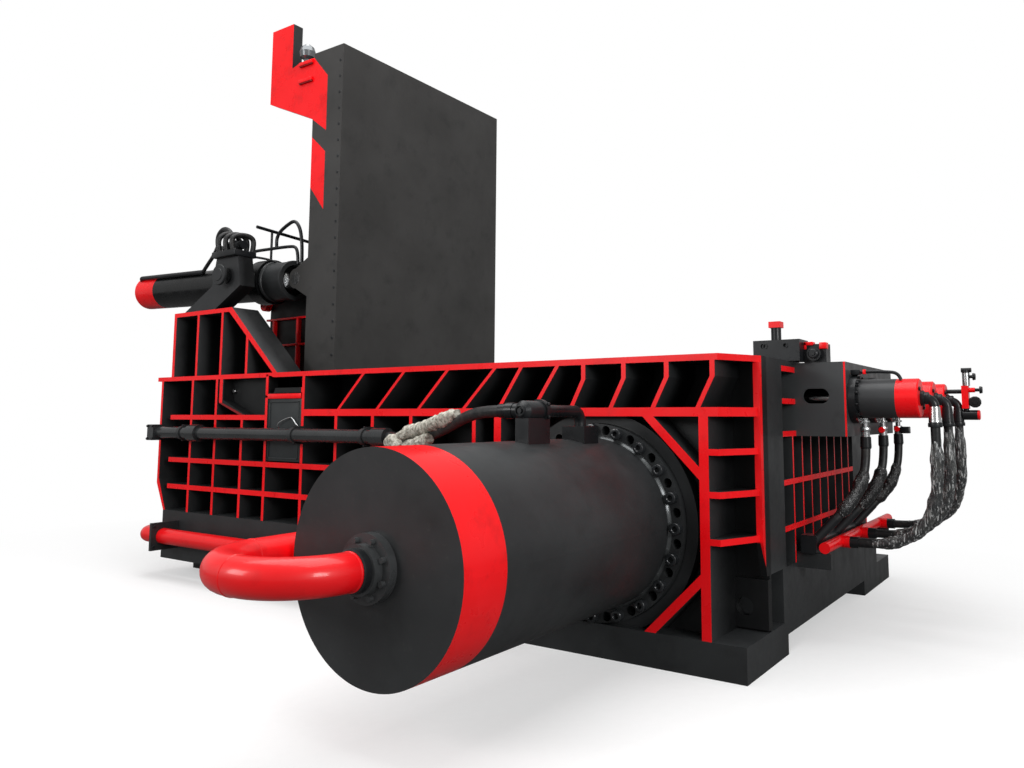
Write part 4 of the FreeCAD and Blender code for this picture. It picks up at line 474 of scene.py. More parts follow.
# the hose over the main cylinder, with three rags wound on it
wallHose = {
    "diameter": 0.07, "length": 1.801,
    "route": [(0, -1.2, 1.53), (-0.21, -1.2, 1.53), (-0.45, -1.085, 1.495), (-0.68, -0.935, 1.445),
              (-0.93, -0.8, 1.39), (-1.19, -0.672, 1.345), (-1.4544, -0.5442, 1.317), (-1.608, -0.473, 1.332)],
    "rags": {  # route of each rag, its radius
        "upper_rag": ([(-1.46, -0.60, 1.35), (-1.40, -0.65, 1.375), (-1.18, -0.72, 1.405),
                       (-0.93, -0.83, 1.45), (-0.7, -0.96, 1.49), (-0.55, -1.04, 1.515)], 0.046),
        "lower_rag": ([(-1.42, -0.61, 1.268), (-1.34, -0.66, 1.278), (-1.2, -0.735, 1.297),
                       (-1.05, -0.79, 1.33), (-0.97, -0.835, 1.35)], 0.049),
        "end_rag": ([(-1.66, -0.5, 1.278), (-1.64, -0.53, 1.31), (-1.58, -0.555, 1.322), (-1.52, -0.575, 1.29),
                     (-1.47, -0.6, 1.27)], 0.046),
    },
}
ragFold = {**filmFold, "ringEvery": 0.014, "lumps": 0.24, "lumpEvery": 11, "across": 22, "down": 26,
           "crease": 0.011}
hose = dress("wall_hose_cover", curveThrough("wall_hose_cover", wallHose["route"], wallHose["diameter"] / 2),
             hoseRubber, "frame")
for number, (name, (points, radius)) in enumerate(wallHose["rags"].items()):
    rag = wrapAlong(name, points, 0.0, 1.0, radius, {**ragFold, "seed": 5.3 * number + 1}, cottonRag,
                    "frame")
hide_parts("wall_hose")
print("hoses and what is wound on them")


# finishes of the machine's own parts: regions that are masked off, in metres along x, y and z
redRegions = {
    "nearEdge": [((0, -1, 0), 0.3595)],
    "farEdge": [((0, 1, 0), 2.8795)],
    "nearChamfer": [beyond((0.9236, -0.3833, 0), (0.868, -0.36, 0), -0.0008)],
    "farChamfer": [beyond((0.9236, 0.3833, 0), (0.868, 2.88, 0), -0.0008)],
    "cornerStrip": [((0, -1, 0), 0.0525), ((1, 0, 0), 0.9715), ((0, 0, 1), 0.54)],
}
redEdges = [(list(redRegions.values()), redEnamel)]
# a bar in the near wall's bay, painted near black as painted shade
barHiddenInShade = [between("x", -3.315, -2.87) + between("z", 1.684, 1.768) + [((0, -1, 0), 0.2)]]
rightRibs = [[((1, 0, 0), 1.0115), ((0, 1, 0), 0.3695), ((0, -1, 0), -2.1505)]]
leftRibs = [[((-1, 0, 0), 4.9695)]]
stiffenerFold = [[((0, -1, 0), 0.3595), ((-0.32, 0, -0.948), -0.2642)]]
stiffenerTab = [[((0, -1, 0), 0.3595), ((-1, 0, 0), 3.972), ((0, 0, 1), 1.619)]]
barrelBand = [[((0, -1, 0), 1.957), ((0, 1, 0), -2.2495)]]
hookFace = [[((0, -1, 0), -0.0905)], [((-1, 0, 0), 4.0565)]]
housingLip = [[((1, 0, 0), 1.338), ((0, -1, 0), -0.652)]]
endValveRed = [between("x", 1.8865, 1.9355) + between("z", 1.562, 1.7318),
               between("x", 1.9355, 2.1) + between("z", 1.678, 1.72)]
lidPatches = [  # on the lid's side, under the hook
    [((0, -1, 0), -0.0905), ((-1, 0, 0), 3.205), beyond((-1.104, 0, -1), (-3.416, 0, 4.966)),
     beyond((0.727, 0, 1), (-3.409, 0, 4.340))],
    [((0, -1, 0), -0.0905), ((-1, 0, 0), 3.208), beyond((-0.899, 0, -1), (-3.416, 0, 4.174)),
     beyond((1.235, 0, 1), (-3.405, 0, 3.670))]]
tilt = next(joint["axis"] for joint in frame["joints"] if joint["name"] == "near_lid_stroke")
lidCylinder = {"trunnion": (-4.093, 0, 2.822), "capFrom": 1.79}  # the cap starts so far behind the trunnion
tailCap = [[beyond((-tilt[0], 0, -tilt[2]), lidCylinder["trunnion"], lidCylinder["capFrom"])]]

# the same enamels in other tones: each part has its own soil, sheen and age; the tower's and the lock
# housing's greys are paler as painted light, and shadedRed is red darkened as painted shade
lidGrey = {**greyEnamel, "base": "#31302f", "worn": "#393837"}
towerGrey = {**greyEnamel, "base": "#37383a", "worn": "#404142"}
housingLitGrey = {**greyEnamel, "base": "#38393a", "worn": "#404243"}
lockGrey = {**greyEnamel, "base": "#303132", "worn": "#38393b"}
pipeGrey = {**greyEnamel, "roughness": 0.26, "base": "#242627", "worn": "#2e3031"}
coverGrey = {**greyEnamel, "base": "#26292a", "worn": "#2c2f30"}
rodBlack = {**blackEnamel, "roughness": 0.26, "base": "#0b0c0d", "worn": "#121314"}
boltBlack = {**blackEnamel, "base": "#1d1f21", "worn": "#2a2c2e", "roughness": 0.28}
shadedRed = {**redEnamel, "base": "#7c050a", "worn": "#8d080d"}
pipeRed = {**redEnamel, "roughness": 0.4, "dustiness": 0.05, "base": "#e2040c", "worn": "#ee0a14"}
weldGrey = {**brightNickel, "base": "#484a4b", "worn": "#5e6162", "grime": "#3a3b3b", "metal": 0.6}
rollerGrey = {**brightNickel, "base": "#6d7072", "worn": "#7f8284", "metal": 0.6}

# grey enamel plate whose outer edges are masked and sprayed red; painted shade darkens the bays with their
# depth, and one bar in a bay is painted near black as painted shade so that it sinks into it
nearWallPaint = enamelOnSteel("satinGreyEnamelNearWall", greyEnamel, [*redEdges, (barHiddenInShade, shadeDarkEnamel)],
                              ((0, 1, 0), -0.355, -0.08))
farWallPaint = enamelOnSteel("satinGreyEnamelFarWall", greyEnamel, redEdges, ((0, -1, 0), -2.875, -2.6))
# gloss red enamel on bent steel pipe: clear lights along it, with hardly any dust
pipePaint = enamelOnSteel("glossRedEnamelPipe", pipeRed, peel=0.02, clear=0.35)
# near black enamel on the lid cylinders' drawn tubes, with a red cap at the tail
lidCylinderPaint = enamelOnSteel("satinBlackEnamelTube", rodBlack, [(tailCap, redEnamel)])
# grey enamel on the lock cylinders, with red caps, black end covers and nickel plated necks
lockCylinderPaint = enamelOnSteel("satinGreyEnamelCapped", lockGrey, [
    ([between("x", 1.64, 1.7785)], redEnamel),
    ([between("x", 1.7785, 2.0), between("x", 1.34, 1.4165) + between("z", 1.0, 2.0)], blackEnamel),
    ([between("x", 1.39, 1.46) + between("z", 1.3, 1.4895)], brightNickel)])
finishes = {
    "near_side_wall": nearWallPaint, "far_side_wall": farWallPaint, "far_outer_tower": farWallPaint,
    # the same enamel, painted paler where the tower stands in the light, with painted shade darkening its bays
    # with depth
    "near_outer_tower": enamelOnSteel("satinGreyEnamelTower", towerGrey, redEdges, ((0, 1, 0), -0.355, -0.22)),
    # painted shade: near black enamel on the folded sheet that stands in the bay's shade, its fold in red
    # darkened as painted shade, and a red tab
    "wall_stiffener": enamelOnSteel("paintedShadeDarkSheet", shadeDarkEnamel, [
        (stiffenerFold, shadedRed), (stiffenerTab, redEnamel)]),
    # zinc plate on a turned roller: dull metal, greyed by handling
    "landing_buffer": enamelOnSteel("greyZincPlate", rollerGrey),
    # grey enamel plate with red rib edges at the machine's two ends, with painted shade darkening their bays
    # with depth
    "right_end_wall": enamelOnSteel("satinGreyEnamelRightEnd", greyEnamel, [(rightRibs, redEnamel)],
                                    ((-1, 0, 0), -1.0, -0.76)),
    "left_end_wall": enamelOnSteel("satinGreyEnamelLeftEnd", greyEnamel, [(leftRibs, redEnamel)],
                                   ((1, 0, 0), -4.96, -4.84)),
    # grey enamel on the rolled barrel, with a red band round it
    "main_cylinder": enamelOnSteel("satinGreyEnamelBarrel", greyEnamel, [(barrelBand, redEnamel)]),
    # warmer grey enamel on the lid's wide sheets, and red on the hook's face
    "lid": enamelOnSteel("satinWarmGreyEnamel", lidGrey, [(lidPatches, redEnamel)]),
    "lid_hook": enamelOnSteel("satinGreyEnamelHook", greyEnamel, [(hookFace, redEnamel)]),
    "feed_pipe": pipePaint, "base_pipe": pipePaint, "rear_manifold": redGloss,
    # paler grey enamel on the lock housing's plates, painted paler for the light that falls on them, and a
    # smoother coat on the port's turned flange
    "lock_housing": enamelOnSteel("paintedLightPaleGreyEnamel", housingLitGrey, [(housingLip, redEnamel)]),
    "cap_port_flange": enamelOnSteel("satinGreyEnamelFlange", {**housingLitGrey, "roughness": 0.32}),
    # black enamel on iron castings, with red and nickel plated ends
    "deck_valve": enamelOnSteel("blackEnamelRedCap", blackEnamel, [([between("z", 2.107, 2.2)], redEnamel)]),
    "end_valve": enamelOnSteel("blackEnamelRedBody", blackEnamel, [
        (endValveRed, redEnamel), ([between("z", 1.7322, 1.828)], brightNickel)]),
    # dark grey enamel on drawn pipe, with a wet shine
    "wall_pipe": enamelOnSteel("glossGreyEnamelPipe", pipeGrey, clear=0.4),
    "front_manifold": blackGloss, "hose_ferrules": blackGloss, "hinge_bearings": blackGloss,
    "top_valve": blackGloss,
}
for name, thing in nodes.items():
    finish = finishes.get(name, plainGrey)
    if name.endswith("_lid_cylinder"):
        finish = lidCylinderPaint
    elif name.startswith("lock_cylinder"):
        finish = lockCylinderPaint
    elif name.startswith("lock_bolt") or "pin" in name or name.endswith(("_rod", "_ram", "_shaft")):
        finish = chrome
    thing.data.materials.clear()
    thing.data.materials.append(finish)
print("finishes on", len(nodes), "nodes")


# socket heads round the main cylinder's flange
flangeBolts = {"count": 20, "circle": 0.586, "axisZ": 0.83, "seatY": -0.34, "radius": 0.036, "height": 0.048,
               "socket": 0.017, "socketDeep": 0.026}
radius, height, socket = flangeBolts["radius"], flangeBolts["height"], flangeBolts["socket"]
floorOf = height - flangeBolts["socketDeep"]
headProfile = [(-0.001, 0), (-0.001, radius), (height - 0.005, radius), (height - 0.001, radius - 0.003),
               (height, radius - 0.007), (height, socket + 0.003), (height - 0.003, socket), (floorOf, socket),
               (floorOf, 0)]
shape = bmesh.new()
for index in range(flangeBolts["count"]):
    angle = math.tau * index / flangeBolts["count"]
    at = (flangeBolts["circle"] * math.cos(angle), flangeBolts["seatY"],
          flangeBolts["axisZ"] + flangeBolts["circle"] * math.sin(angle))
    lathe(shape, headProfile, at, (0, -1, 0))
# blacked and oiled alloy steel: dark, with a clear glint on each rim
boltPaint = enamelOnSteel("oiledBlackSteel", boltBlack, clear=0.4)
boltHeads = settle("flange_bolt_heads", shape, boltPaint, "frame")
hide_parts("main_flange_bolts")

weldSides = 96
weldRings = {  # where, axis, radius, size of the fillet
    "barrel": ((0, -0.34, 0.83), (0, -1, 0), 0.532, 0.018),
    "port collar": ((0, -2.25, 0.83), (0, -1, 0), 0.112, 0.010),
}
shape = bmesh.new()
for at, axis, radius, size in weldRings.values():
    lathe(shape, [(-0.001, radius - 0.002), (-0.001, radius + size), (size * 0.35, radius + size * 0.72),
                  (size * 0.8, radius + size * 0.3), (size * 1.1, radius - 0.002)], at, axis, weldSides,
          closed=True)
# weld metal brushed after welding: a grey bead, half dull and half bright
settle("barrel_welds", shape, enamelOnSteel("brushedWeldSteel", weldGrey), "frame")

topValve = {
    "endCap": (0.085, -1.255, 1.53), "plug": (0.004, -1.2, 1.53), "nut": (-0.05, -1.2, 1.53),
    "capProfile": [(-0.002, 0), (-0.002, 0.033), (0.012, 0.033), (0.014, 0.03), (0.014, 0.026), (0.004, 0.024),
                   (0.004, 0.014), (0.016, 0.014), (0.016, 0)],
    "plugProfile": [(0.0, 0.036), (0.0, 0.046), (0.052, 0.046), (0.056, 0.042), (0.056, 0.036)],
    "nutProfile": [(0.0, 0.036), (0.0, 0.041), (0.05, 0.039), (0.05, 0.036)],
    "boltX": (0.0275, 0.1425), "boltY": -1.062, "boltZ": (1.566, 1.494), "boltR": 0.012, "boltHigh": 0.014,
}
shape = bmesh.new()
lathe(shape, topValve["capProfile"], topValve["endCap"], (0, -1, 0))
lathe(shape, topValve["plugProfile"], topValve["plug"], (-1, 0, 0), closed=True)
lathe(shape, topValve["nutProfile"], topValve["nut"], (-1, 0, 0), closed=True)
for x in topValve["boltX"]:
    for z in topValve["boltZ"]:
        hexHead(shape, (x, topValve["boltY"], z), (0, -1, 0), topValve["boltR"], topValve["boltHigh"])
settle("top_valve_fittings", shape, blackGloss, "frame")
print("main cylinder's bolts, welds and valve")

# two red ridges on the hook's face, each with its shaded underside
hookRidges = {"tops": (4.943, 4.768), "ridge": ((-3.61, 0.068, -0.034), (-3.415, 0.091, 0)),
              "under": ((-3.604, 0.072, -0.046), (-3.419, 0.091, -0.0345))}  # their z is from the top
shape, shaded = bmesh.new(), bmesh.new()
for top in hookRidges["tops"]:
    for target, part in ((shape, "ridge"), (shaded, "under")):
        (x1, y1, z1), (x2, y2, z2) = hookRidges[part]
        slab(target, (x1, y1, top + z1), (x2, y2, top + z2))
settle("hook_ridges", shape, redGloss, "lid")
# the same red enamel, deep where the ridge shades it
settle("hook_ridge_undersides", shaded, enamelOnSteel("deepRedEnamel", shadedRed), "lid")

middleY = 1.26  # the machine's long middle plane
plugWelds = {"x": -3.03, "every": 0.155, "from": 2.05, "count": 19, "out": 1.1695,
             "profile": [(-0.001, 0), (-0.001, 0.016), (0.003, 0.013), (0.004, 0)], "sides": 10}
shape = bmesh.new()
for hand in (-1, 1):
    for index in range(plugWelds["count"]):
        at = (plugWelds["x"], middleY + hand * plugWelds["out"],
              plugWelds["from"] + plugWelds["every"] * index)
        lathe(shape, plugWelds["profile"], at, (0, hand, 0), plugWelds["sides"])
settle("lid_plug_welds", shape, blackGloss, "lid")
print("hook ridges and plug welds")

# lines and hoses of the lid cylinders: radius and points on the near side, mirrored for the far side
lidLines = {
    "tail_line": (0.024, [
        (-6.19, 0.07, 3.0), (-6.17, 0.035, 3.036), (-6.12, 0.035, 3.034), (-5.6, 0.035, 3.016),
        (-5.05, 0.035, 2.997), (-4.98, 0.035, 2.994)]),
    "cross_line": (0.016, [
        (-4.43, 0.19, 3.0), (-4.43, 0.19, 3.15), (-4.39, 0.19, 3.172), (-4.1, 0.19, 3.166),
        (-3.79, 0.19, 3.158), (-3.7, 0.19, 3.14), (-3.67, 0.19, 3.05), (-3.668, 0.19, 2.97)]),
    "short_line": (0.012, [
        (-4.42, 0.15, 3.0), (-4.4, 0.15, 3.1), (-4.34, 0.15, 3.11), (-3.98, 0.15, 3.03),
        (-3.9, 0.15, 2.98)]),
    "rail": (0.016, [
        (-4.084, 0.013, 3.356), (-4.084, 0.2, 3.345), (-4.084, 0.4, 3.334), (-4.084, 0.66, 3.318)]),
    "rail_post": (0.012, [(-4.084, 0.19, 3.02), (-4.084, 0.19, 3.12), (-4.084, 0.19, 3.345)]),
    "loop_line": (0.017, [
        (-3.61, 0.19, 2.95), (-3.612, 0.19, 3.06), (-3.62, 0.19, 3.18), (-3.65, 0.19, 3.32),
        (-3.735, 0.19, 3.415), (-3.86, 0.19, 3.375), (-3.97, 0.19, 3.32), (-4.015, 0.19, 3.24),
        (-4.0, 0.19, 3.17)]),
}
crossingHoses = {  # from the swivel on the tower's head to the barrel, across the trunnion
    "swivel_hose": (0.019, [
        (-4.28, -0.2, 3.11), (-4.4, -0.19, 3.175), (-4.58, -0.09, 3.165), (-4.77, 0.0, 3.13),
        (-4.9, 0.03, 3.07), (-4.985, 0.035, 3.0)]),
    "loop_hose": (0.026, [
        (-4.14, -0.2, 3.1), (-4.15, -0.2, 3.2), (-4.22, -0.2, 3.3), (-4.34, -0.19, 3.325),
        (-4.45, -0.17, 3.25), (-4.485, -0.12, 3.11), (-4.5, -0.03, 3.02), (-4.51, 0.08, 2.985)]),
}
swivel = {
    "low": (-4.29, -0.33, 3.004), "high": (-3.93, -0.09, 3.062), "edge": 0.006, "body": (-4.25, -0.2, 3.125),
    "profile": [(0, 0), (0, 0.04), (0.02, 0.052), (0.1, 0.052), (0.1, 0.04), (0.13, 0.04), (0.13, 0.058),
                (0.16, 0.058), (0.16, 0.042), (0.28, 0.042), (0.28, 0)],
    "boltX": (-4.24, -3.96), "boltY": (-0.3, -0.12), "boltR": 0.014, "boltHigh": 0.012,
    "hoops": (-4.2, -4.09, -3.99), "hoopR": 0.024, "hoopLower": 0.02,
    "hoop": [(0, -0.3, 3.05), (-0.01, -0.33, 3.16), (0, -0.27, 3.27), (0.02, -0.15, 3.28), (0.03, -0.09, 3.17),
             (0.03, -0.12, 3.05)],
}
noseSleeve = {
    "from": -3.985, "axis": ((-4.093, 2.822), (-3.572, 2.804)), "y": 0.19, "sides": 48,
    "profile": [(0, 0.15), (0, 0.188), (0.26, 0.188), (0.26, 0.195), (0.286, 0.195), (0.29, 0.191),
                (0.29, 0.15)],
    "weld": [(-0.004, 0.184), (-0.004, 0.204), (0.012, 0.198), (0.02, 0.184)],
}
towerWeb = {
    "outline": [(-4.43, 1.876), (-3.66, 1.876), (-3.66, 2.5), (-3.8, 2.7), (-4.41, 2.72)],
    "sheetY": 0.4585, "thick": 0.0135, "barY": (0.42, 0.4595), "barEdge": 0.002,
    "bars": [((-4.43, 2.475), (-3.66, 2.495)), ((-4.43, 2.205), (-3.66, 2.225)),
             ((-3.955, 1.876), (-3.92, 2.475)), ((-4.33, 1.876), (-4.3, 2.475))],
    "knob": (-4.44, 0.385, 2.64),
    "knobProfile": [(0, 0), (0, 0.052), (0.006, 0.058), (0.07, 0.058), (0.07, 0)],
}
trunnionCover = {"at": (-4.093, -0.36, 2.822), "sides": 40,
                 "profile": [(-0.002, 0), (-0.002, 0.1), (0.014, 0.1), (0.02, 0.094), (0.02, 0.06),
                             (0.026, 0.056), (0.026, 0)]}
# painted shade: a sheet inside the towers in near black enamel, for the shade there, with a faint sheen
shadeDarkPaint = enamelOnSteel("paintedShadeDarkEnamel", shadeDarkEnamel)
(x1, z1), (x2, z2) = noseSleeve["axis"]
axisSlope = (z2 - z1) / (x2 - x1)
noseZ = z1 + (noseSleeve["from"] - x1) * axisSlope


def mirrored(point, hand):
    # the point itself, or its mirror image on the machine's far side
    x, y, z = point
    return (x, y if hand == 1 else 2 * middleY - y, z)


def boxOf(low, high, hand):
    corners = list(zip(mirrored(low, hand), mirrored(high, hand)))
    return [min(pair) for pair in corners], [max(pair) for pair in corners]


for side, hand in (("near", 1), ("far", -1)):
    barrel = f"{side}_lid_barrel"
    for name, (radius, points) in lidLines.items():
        bentTube(f"{side}_{name}", [mirrored(point, hand) for point in points], radius, blackGloss, barrel)
    for name, (radius, points) in crossingHoses.items():
        points = [mirrored(point, hand) for point in points]
        piece = bentTube(f"{side}_{name}", points, radius, hoseRubber, None)
        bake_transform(piece)

    shape = bmesh.new()
    slab(shape, *boxOf(swivel["low"], swivel["high"], hand), swivel["edge"])
    lathe(shape, swivel["profile"], mirrored(swivel["body"], hand), (1, 0, 0))
    for x in swivel["boltX"]:
        for y in swivel["boltY"]:
            hexHead(shape, mirrored((x, y, swivel["high"][2]), hand), (0, 0, 1), swivel["boltR"],
                    swivel["boltHigh"])
    settle(f"{side}_swivel_block", shape, blackGloss, "frame")
    for number, start in enumerate(swivel["hoops"], start=1):
        lower = [0, 0, number * swivel["hoopLower"], number * swivel["hoopLower"], 0, 0]
        hoop = [mirrored((start + x, y, z - less), hand) for (x, y, z), less in zip(swivel["hoop"], lower)]
        bentTube(f"{side}_swivel_hoop_{number}", hoop, swivel["hoopR"], hoseRubber, "frame")

    shape = bmesh.new()
    start = mirrored((noseSleeve["from"], noseSleeve["y"], noseZ), hand)
    for profile in (noseSleeve["profile"], noseSleeve["weld"]):
        lathe(shape, profile, start, (1, 0, axisSlope), noseSleeve["sides"], closed=True)
    settle(f"{side}_lid_nose_sleeve", shape, plainGrey, barrel)

    shape = bmesh.new()
    verts = [shape.verts.new(mirrored((x, towerWeb["sheetY"], z), hand)) for x, z in towerWeb["outline"]]
    raised = bmesh.ops.extrude_face_region(shape, geom=[shape.faces.new(verts)])["geom"]
    bmesh.ops.translate(shape, verts=[part for part in raised if isinstance(part, bmesh.types.BMVert)],
                        vec=(0, hand * towerWeb["thick"], 0))
    settle(f"{side}_tower_web", shape, shadeDarkPaint, "frame")
    shape = bmesh.new()
    for (x1, z1), (x2, z2) in towerWeb["bars"]:
        low, high = (x1, towerWeb["barY"][0], z1), (x2, towerWeb["barY"][1], z2)
        slab(shape, *boxOf(low, high, hand), towerWeb["barEdge"])
    lathe(shape, towerWeb["knobProfile"], mirrored(towerWeb["knob"], hand), (0, hand, 0))
    settle(f"{side}_web_ribs", shape, redGloss, "frame")

    shape = bmesh.new()
    lathe(shape, trunnionCover["profile"], mirrored(trunnionCover["at"], hand), (0, -hand, 0),
          trunnionCover["sides"])
    settle(f"{side}_trunnion_cover", shape, plainGrey, "frame")
print("lid cylinders' lines, swivels and tower webs")

# what is screwed into each lock cylinder: on its cap, at its hose's ends and on its neck
lockFittings = {
    "capX": 1.778, "boltZ": 1.62,
    "capBolts": ((-0.07, 0.06), (0.07, -0.06)), "capBoltR": 0.014, "capBoltHigh": 0.012,
    "capPort": [(-0.001, 0.028), (-0.001, 0.05), (0.018, 0.05), (0.022, 0.046), (0.022, 0.04), (0.046, 0.04),
                (0.05, 0.036), (0.05, 0.028)],
    "dropX": 1.856, "coneZ": 1.565, "collarZ": 1.461,
    "cone": [(0.0, 0.029), (0.0, 0.033), (0.1, 0.039), (0.104, 0.036), (0.104, 0.029)],
    "collar": [(0.0, 0.03), (0.0, 0.042), (0.014, 0.044), (0.028, 0.042), (0.028, 0.03)],
    "neckX": 1.424, "washerZ": 1.473, "nutZ": 1.431, "nutR": 0.034, "nutHigh": 0.034, "ferruleZ": 1.366,
    "washer": [(0.0, 0.018), (0.0, 0.03), (0.012, 0.03), (0.014, 0.027), (0.014, 0.018)],
    "ferrule": [(0.0, 0.029), (0.0, 0.034), (0.07, 0.036), (0.074, 0.033), (0.08, 0.033), (0.08, 0.029)],
    "plugOut": 0.026, "plugZ": 1.405, "plug": [(0, 0), (0, 0.02), (0.03, 0.022), (0.034, 0.018), (0.034, 0)],
    "bracket": ((1.45, 1.85, 1.372), (1.512, 1.93, 1.424)), "bracketEdge": 0.005,
    "sensor": ((1.36, 0.745, 1.78), (1.42, 0.8, 1.813)),
    "line": [(1.41, 0.77, 1.796), (1.46, 0.77, 1.798), (1.58, 0.77, 1.796), (1.66, 0.77, 1.785),
             (1.672, 0.77, 1.74)], "lineR": 0.011,
}
darkFittings, brightFittings, redFittings = bmesh.new(), bmesh.new(), bmesh.new()
for number, y in enumerate(lockHoses["acrossPlaces"], start=1):
    capX, z, dropX, neckX = (lockFittings[name] for name in ("capX", "boltZ", "dropX", "neckX"))
    lathe(darkFittings, lockFittings["capPort"], (capX, y, z), (1, 0, 0), closed=True)
    for dy, dz in lockFittings["capBolts"]:
        hexHead(darkFittings, (capX, y + dy, z + dz), (1, 0, 0), lockFittings["capBoltR"],
                lockFittings["capBoltHigh"])
    cone = brightFittings if number == 1 else darkFittings  # the first one's plating is still clean
    for target, name, x in ((cone, "cone", dropX), (darkFittings, "collar", dropX),
                            (brightFittings, "washer", neckX), (darkFittings, "ferrule", neckX)):
        lathe(target, lockFittings[name], (x, y, lockFittings[name + "Z"]), (0, 0, -1), closed=True)
    hexHead(brightFittings, (neckX, y, lockFittings["nutZ"]), (0, 0, -1), lockFittings["nutR"],
            lockFittings["nutHigh"])
    if number > 1:
        lathe(redFittings, lockFittings["plug"], (neckX, y - lockFittings["plugOut"], lockFittings["plugZ"]),
              (0, -1, 0))
slab(darkFittings, *lockFittings["bracket"], lockFittings["bracketEdge"])
slab(darkFittings, *lockFittings["sensor"])
settle("lock_dark_fittings", darkFittings, blackGloss, "frame")
bentTube("housing_line", lockFittings["line"], lockFittings["lineR"], blackGloss, "frame")
settle("lock_bright_fittings", brightFittings, nickel, "frame")

valveKnobs = {
    "discs": [((1.157, 0.612, 1.922), 0.032), ((1.976, 1.886, 1.61), 0.043)], "discSides": 12,
    "studs": [(1.934, 1.91, 1.80), (1.976, 1.91, 1.70)], "studSides": 10,
    "stud": [(-0.001, 0), (-0.001, 0.012), (0.03, 0.012), (0.03, 0.026), (0.036, 0.028), (0.05, 0.024),
             (0.05, 0)],
    "eyes": [(0.845, 0.55, 1.982), (0.985, 0.55, 1.982)], "eyeSides": 20,
    "eye": [(-0.001, 0.012), (-0.001, 0.019), (0.006, 0.018), (0.006, 0.013)],
}
shape = bmesh.new()
for at, radius in valveKnobs["discs"]:
    lathe(shape, [(0, 0), (0, radius), (0.018, radius), (0.022, radius - 0.006), (0.022, radius * 0.5),
                  (0.03, radius * 0.45), (0.03, 0)], at, (0, -1, 0), valveKnobs["discSides"])
for at in valveKnobs["studs"]:
    lathe(shape, valveKnobs["stud"], at, (1, 0, 0), valveKnobs["studSides"])
for at in valveKnobs["eyes"]:  # round the valve block's screws
    lathe(shape, valveKnobs["eye"], at, (0, -1, 0), valveKnobs["eyeSides"], closed=True)
settle("valve_knobs", shape, blackGloss, "frame")
redBlocks = [((1.084, 0.64, 1.982), (1.146, 0.7, 2.006)), ((1.19, 0.63, 1.955), (1.236, 0.69, 1.998)),
             ((1.084, 0.64, 1.955), (1.1, 0.7, 2.006)), ((1.436, 0.755, 1.782), (1.456, 0.785, 1.814))]
redCap = {"at": (1.988, 1.91, 1.514),
          "profile": [(0, 0), (0, 0.037), (0.012, 0.037), (0.016, 0.03), (0.016, 0)]}
for low, high in redBlocks:
    slab(redFittings, low, high)
lathe(redFittings, redCap["profile"], redCap["at"], (1, 0, 0))
settle("red_fittings", redFittings, redGloss, "frame")
print("lock cylinders' fittings and valve knobs")

# the cover between the two ribs, its bail handle and the top of the rib beside it
wallCover = {
    "low": (-3.3145, -0.352, 1.112), "high": (-2.8705, -0.336, 1.645),
    "rim": 0.012, "rimOut": 0.006, "rimSunk": 0.002, "rimSide": 0.024, "rimEnd": 0.02, "edge": 0.002,
    "handleR": 0.005,
    "handle": [(-3.149, -0.35, 1.392), (-3.15, -0.368, 1.4), (-3.151, -0.374, 1.422), (-3.112, -0.375, 1.451),
               (-2.993, -0.375, 1.488), (-2.952, -0.375, 1.482), (-2.885, -0.372, 1.41), (-2.877, -0.35, 1.4)],
}
(x1, y1, z1), (x2, y2, z2) = wallCover["low"], wallCover["high"]
rim, lip, seat = wallCover["rim"], y1 - wallCover["rimOut"], y1 + wallCover["rimSunk"]
left, right = x1 + wallCover["rimSide"], x2 - wallCover["rimSide"]
low, high = z1 + wallCover["rimEnd"], z2 - wallCover["rimEnd"]
shape = bmesh.new()
slab(shape, wallCover["low"], wallCover["high"], wallCover["edge"])
slab(shape, (left, lip, low), (left + rim, seat, high), wallCover["edge"])
slab(shape, (right - rim, lip, low), (right, seat, high), wallCover["edge"])
slab(shape, (left, lip, low), (right, seat, low + rim), wallCover["edge"])
slab(shape, (left, lip, high - rim), (right, seat, high), wallCover["edge"])
# grey enamel on a pressed sheet: darker than the wall, in its shade
settle("wall_cover", shape, enamelOnSteel("satinGreyEnamelCover", coverGrey), "frame")
bentTube("wall_cover_handle", wallCover["handle"], wallCover["handleR"], nickel, "frame")
stripEdge = 0.001
wallStrips = {  # name: corners of its slabs, finish, slot
    "wall_rib_edges": ([((-3.345, -0.36, 1.655), (-3.315, -0.353, 1.862)),
                        ((-3.3145, -0.36, 1.648), (-2.8705, -0.353, 1.69))], redGloss, "red_paint"),
    # the rib's sides behind its red edges, painted near black as painted shade
    "wall_rib_top": ([((-3.344, -0.3531, 1.70), (-3.316, -0.262, 1.86)),
                      ((-3.314, -0.3531, 1.649), (-2.871, -0.3, 1.689))], shadeDarkPaint, "dark_paint"),
    # a black strip for the cover's slot: painted shade where the opening is dark inside
    "wall_cover_slot": ([((-3.0, -0.3535, 1.268), (-2.93, -0.351, 1.288))], blackGloss, "cast_black"),
}
for name, (slabs, finish, slot) in wallStrips.items():
    shape = bmesh.new()
    for low, high in slabs:
        slab(shape, low, high, stripEdge)
    settle(name, shape, finish, "frame")
bayBolt = {"at": (-3.915, -0.26, 1.725), "radius": 0.02, "height": 0.026}
shape = bmesh.new()
hexHead(shape, bayBolt["at"], (0, -1, 0), bayBolt["radius"], bayBolt["height"])
settle("bay_bolt", shape, nickel, "frame")
print("cover and ribs of the near wall")

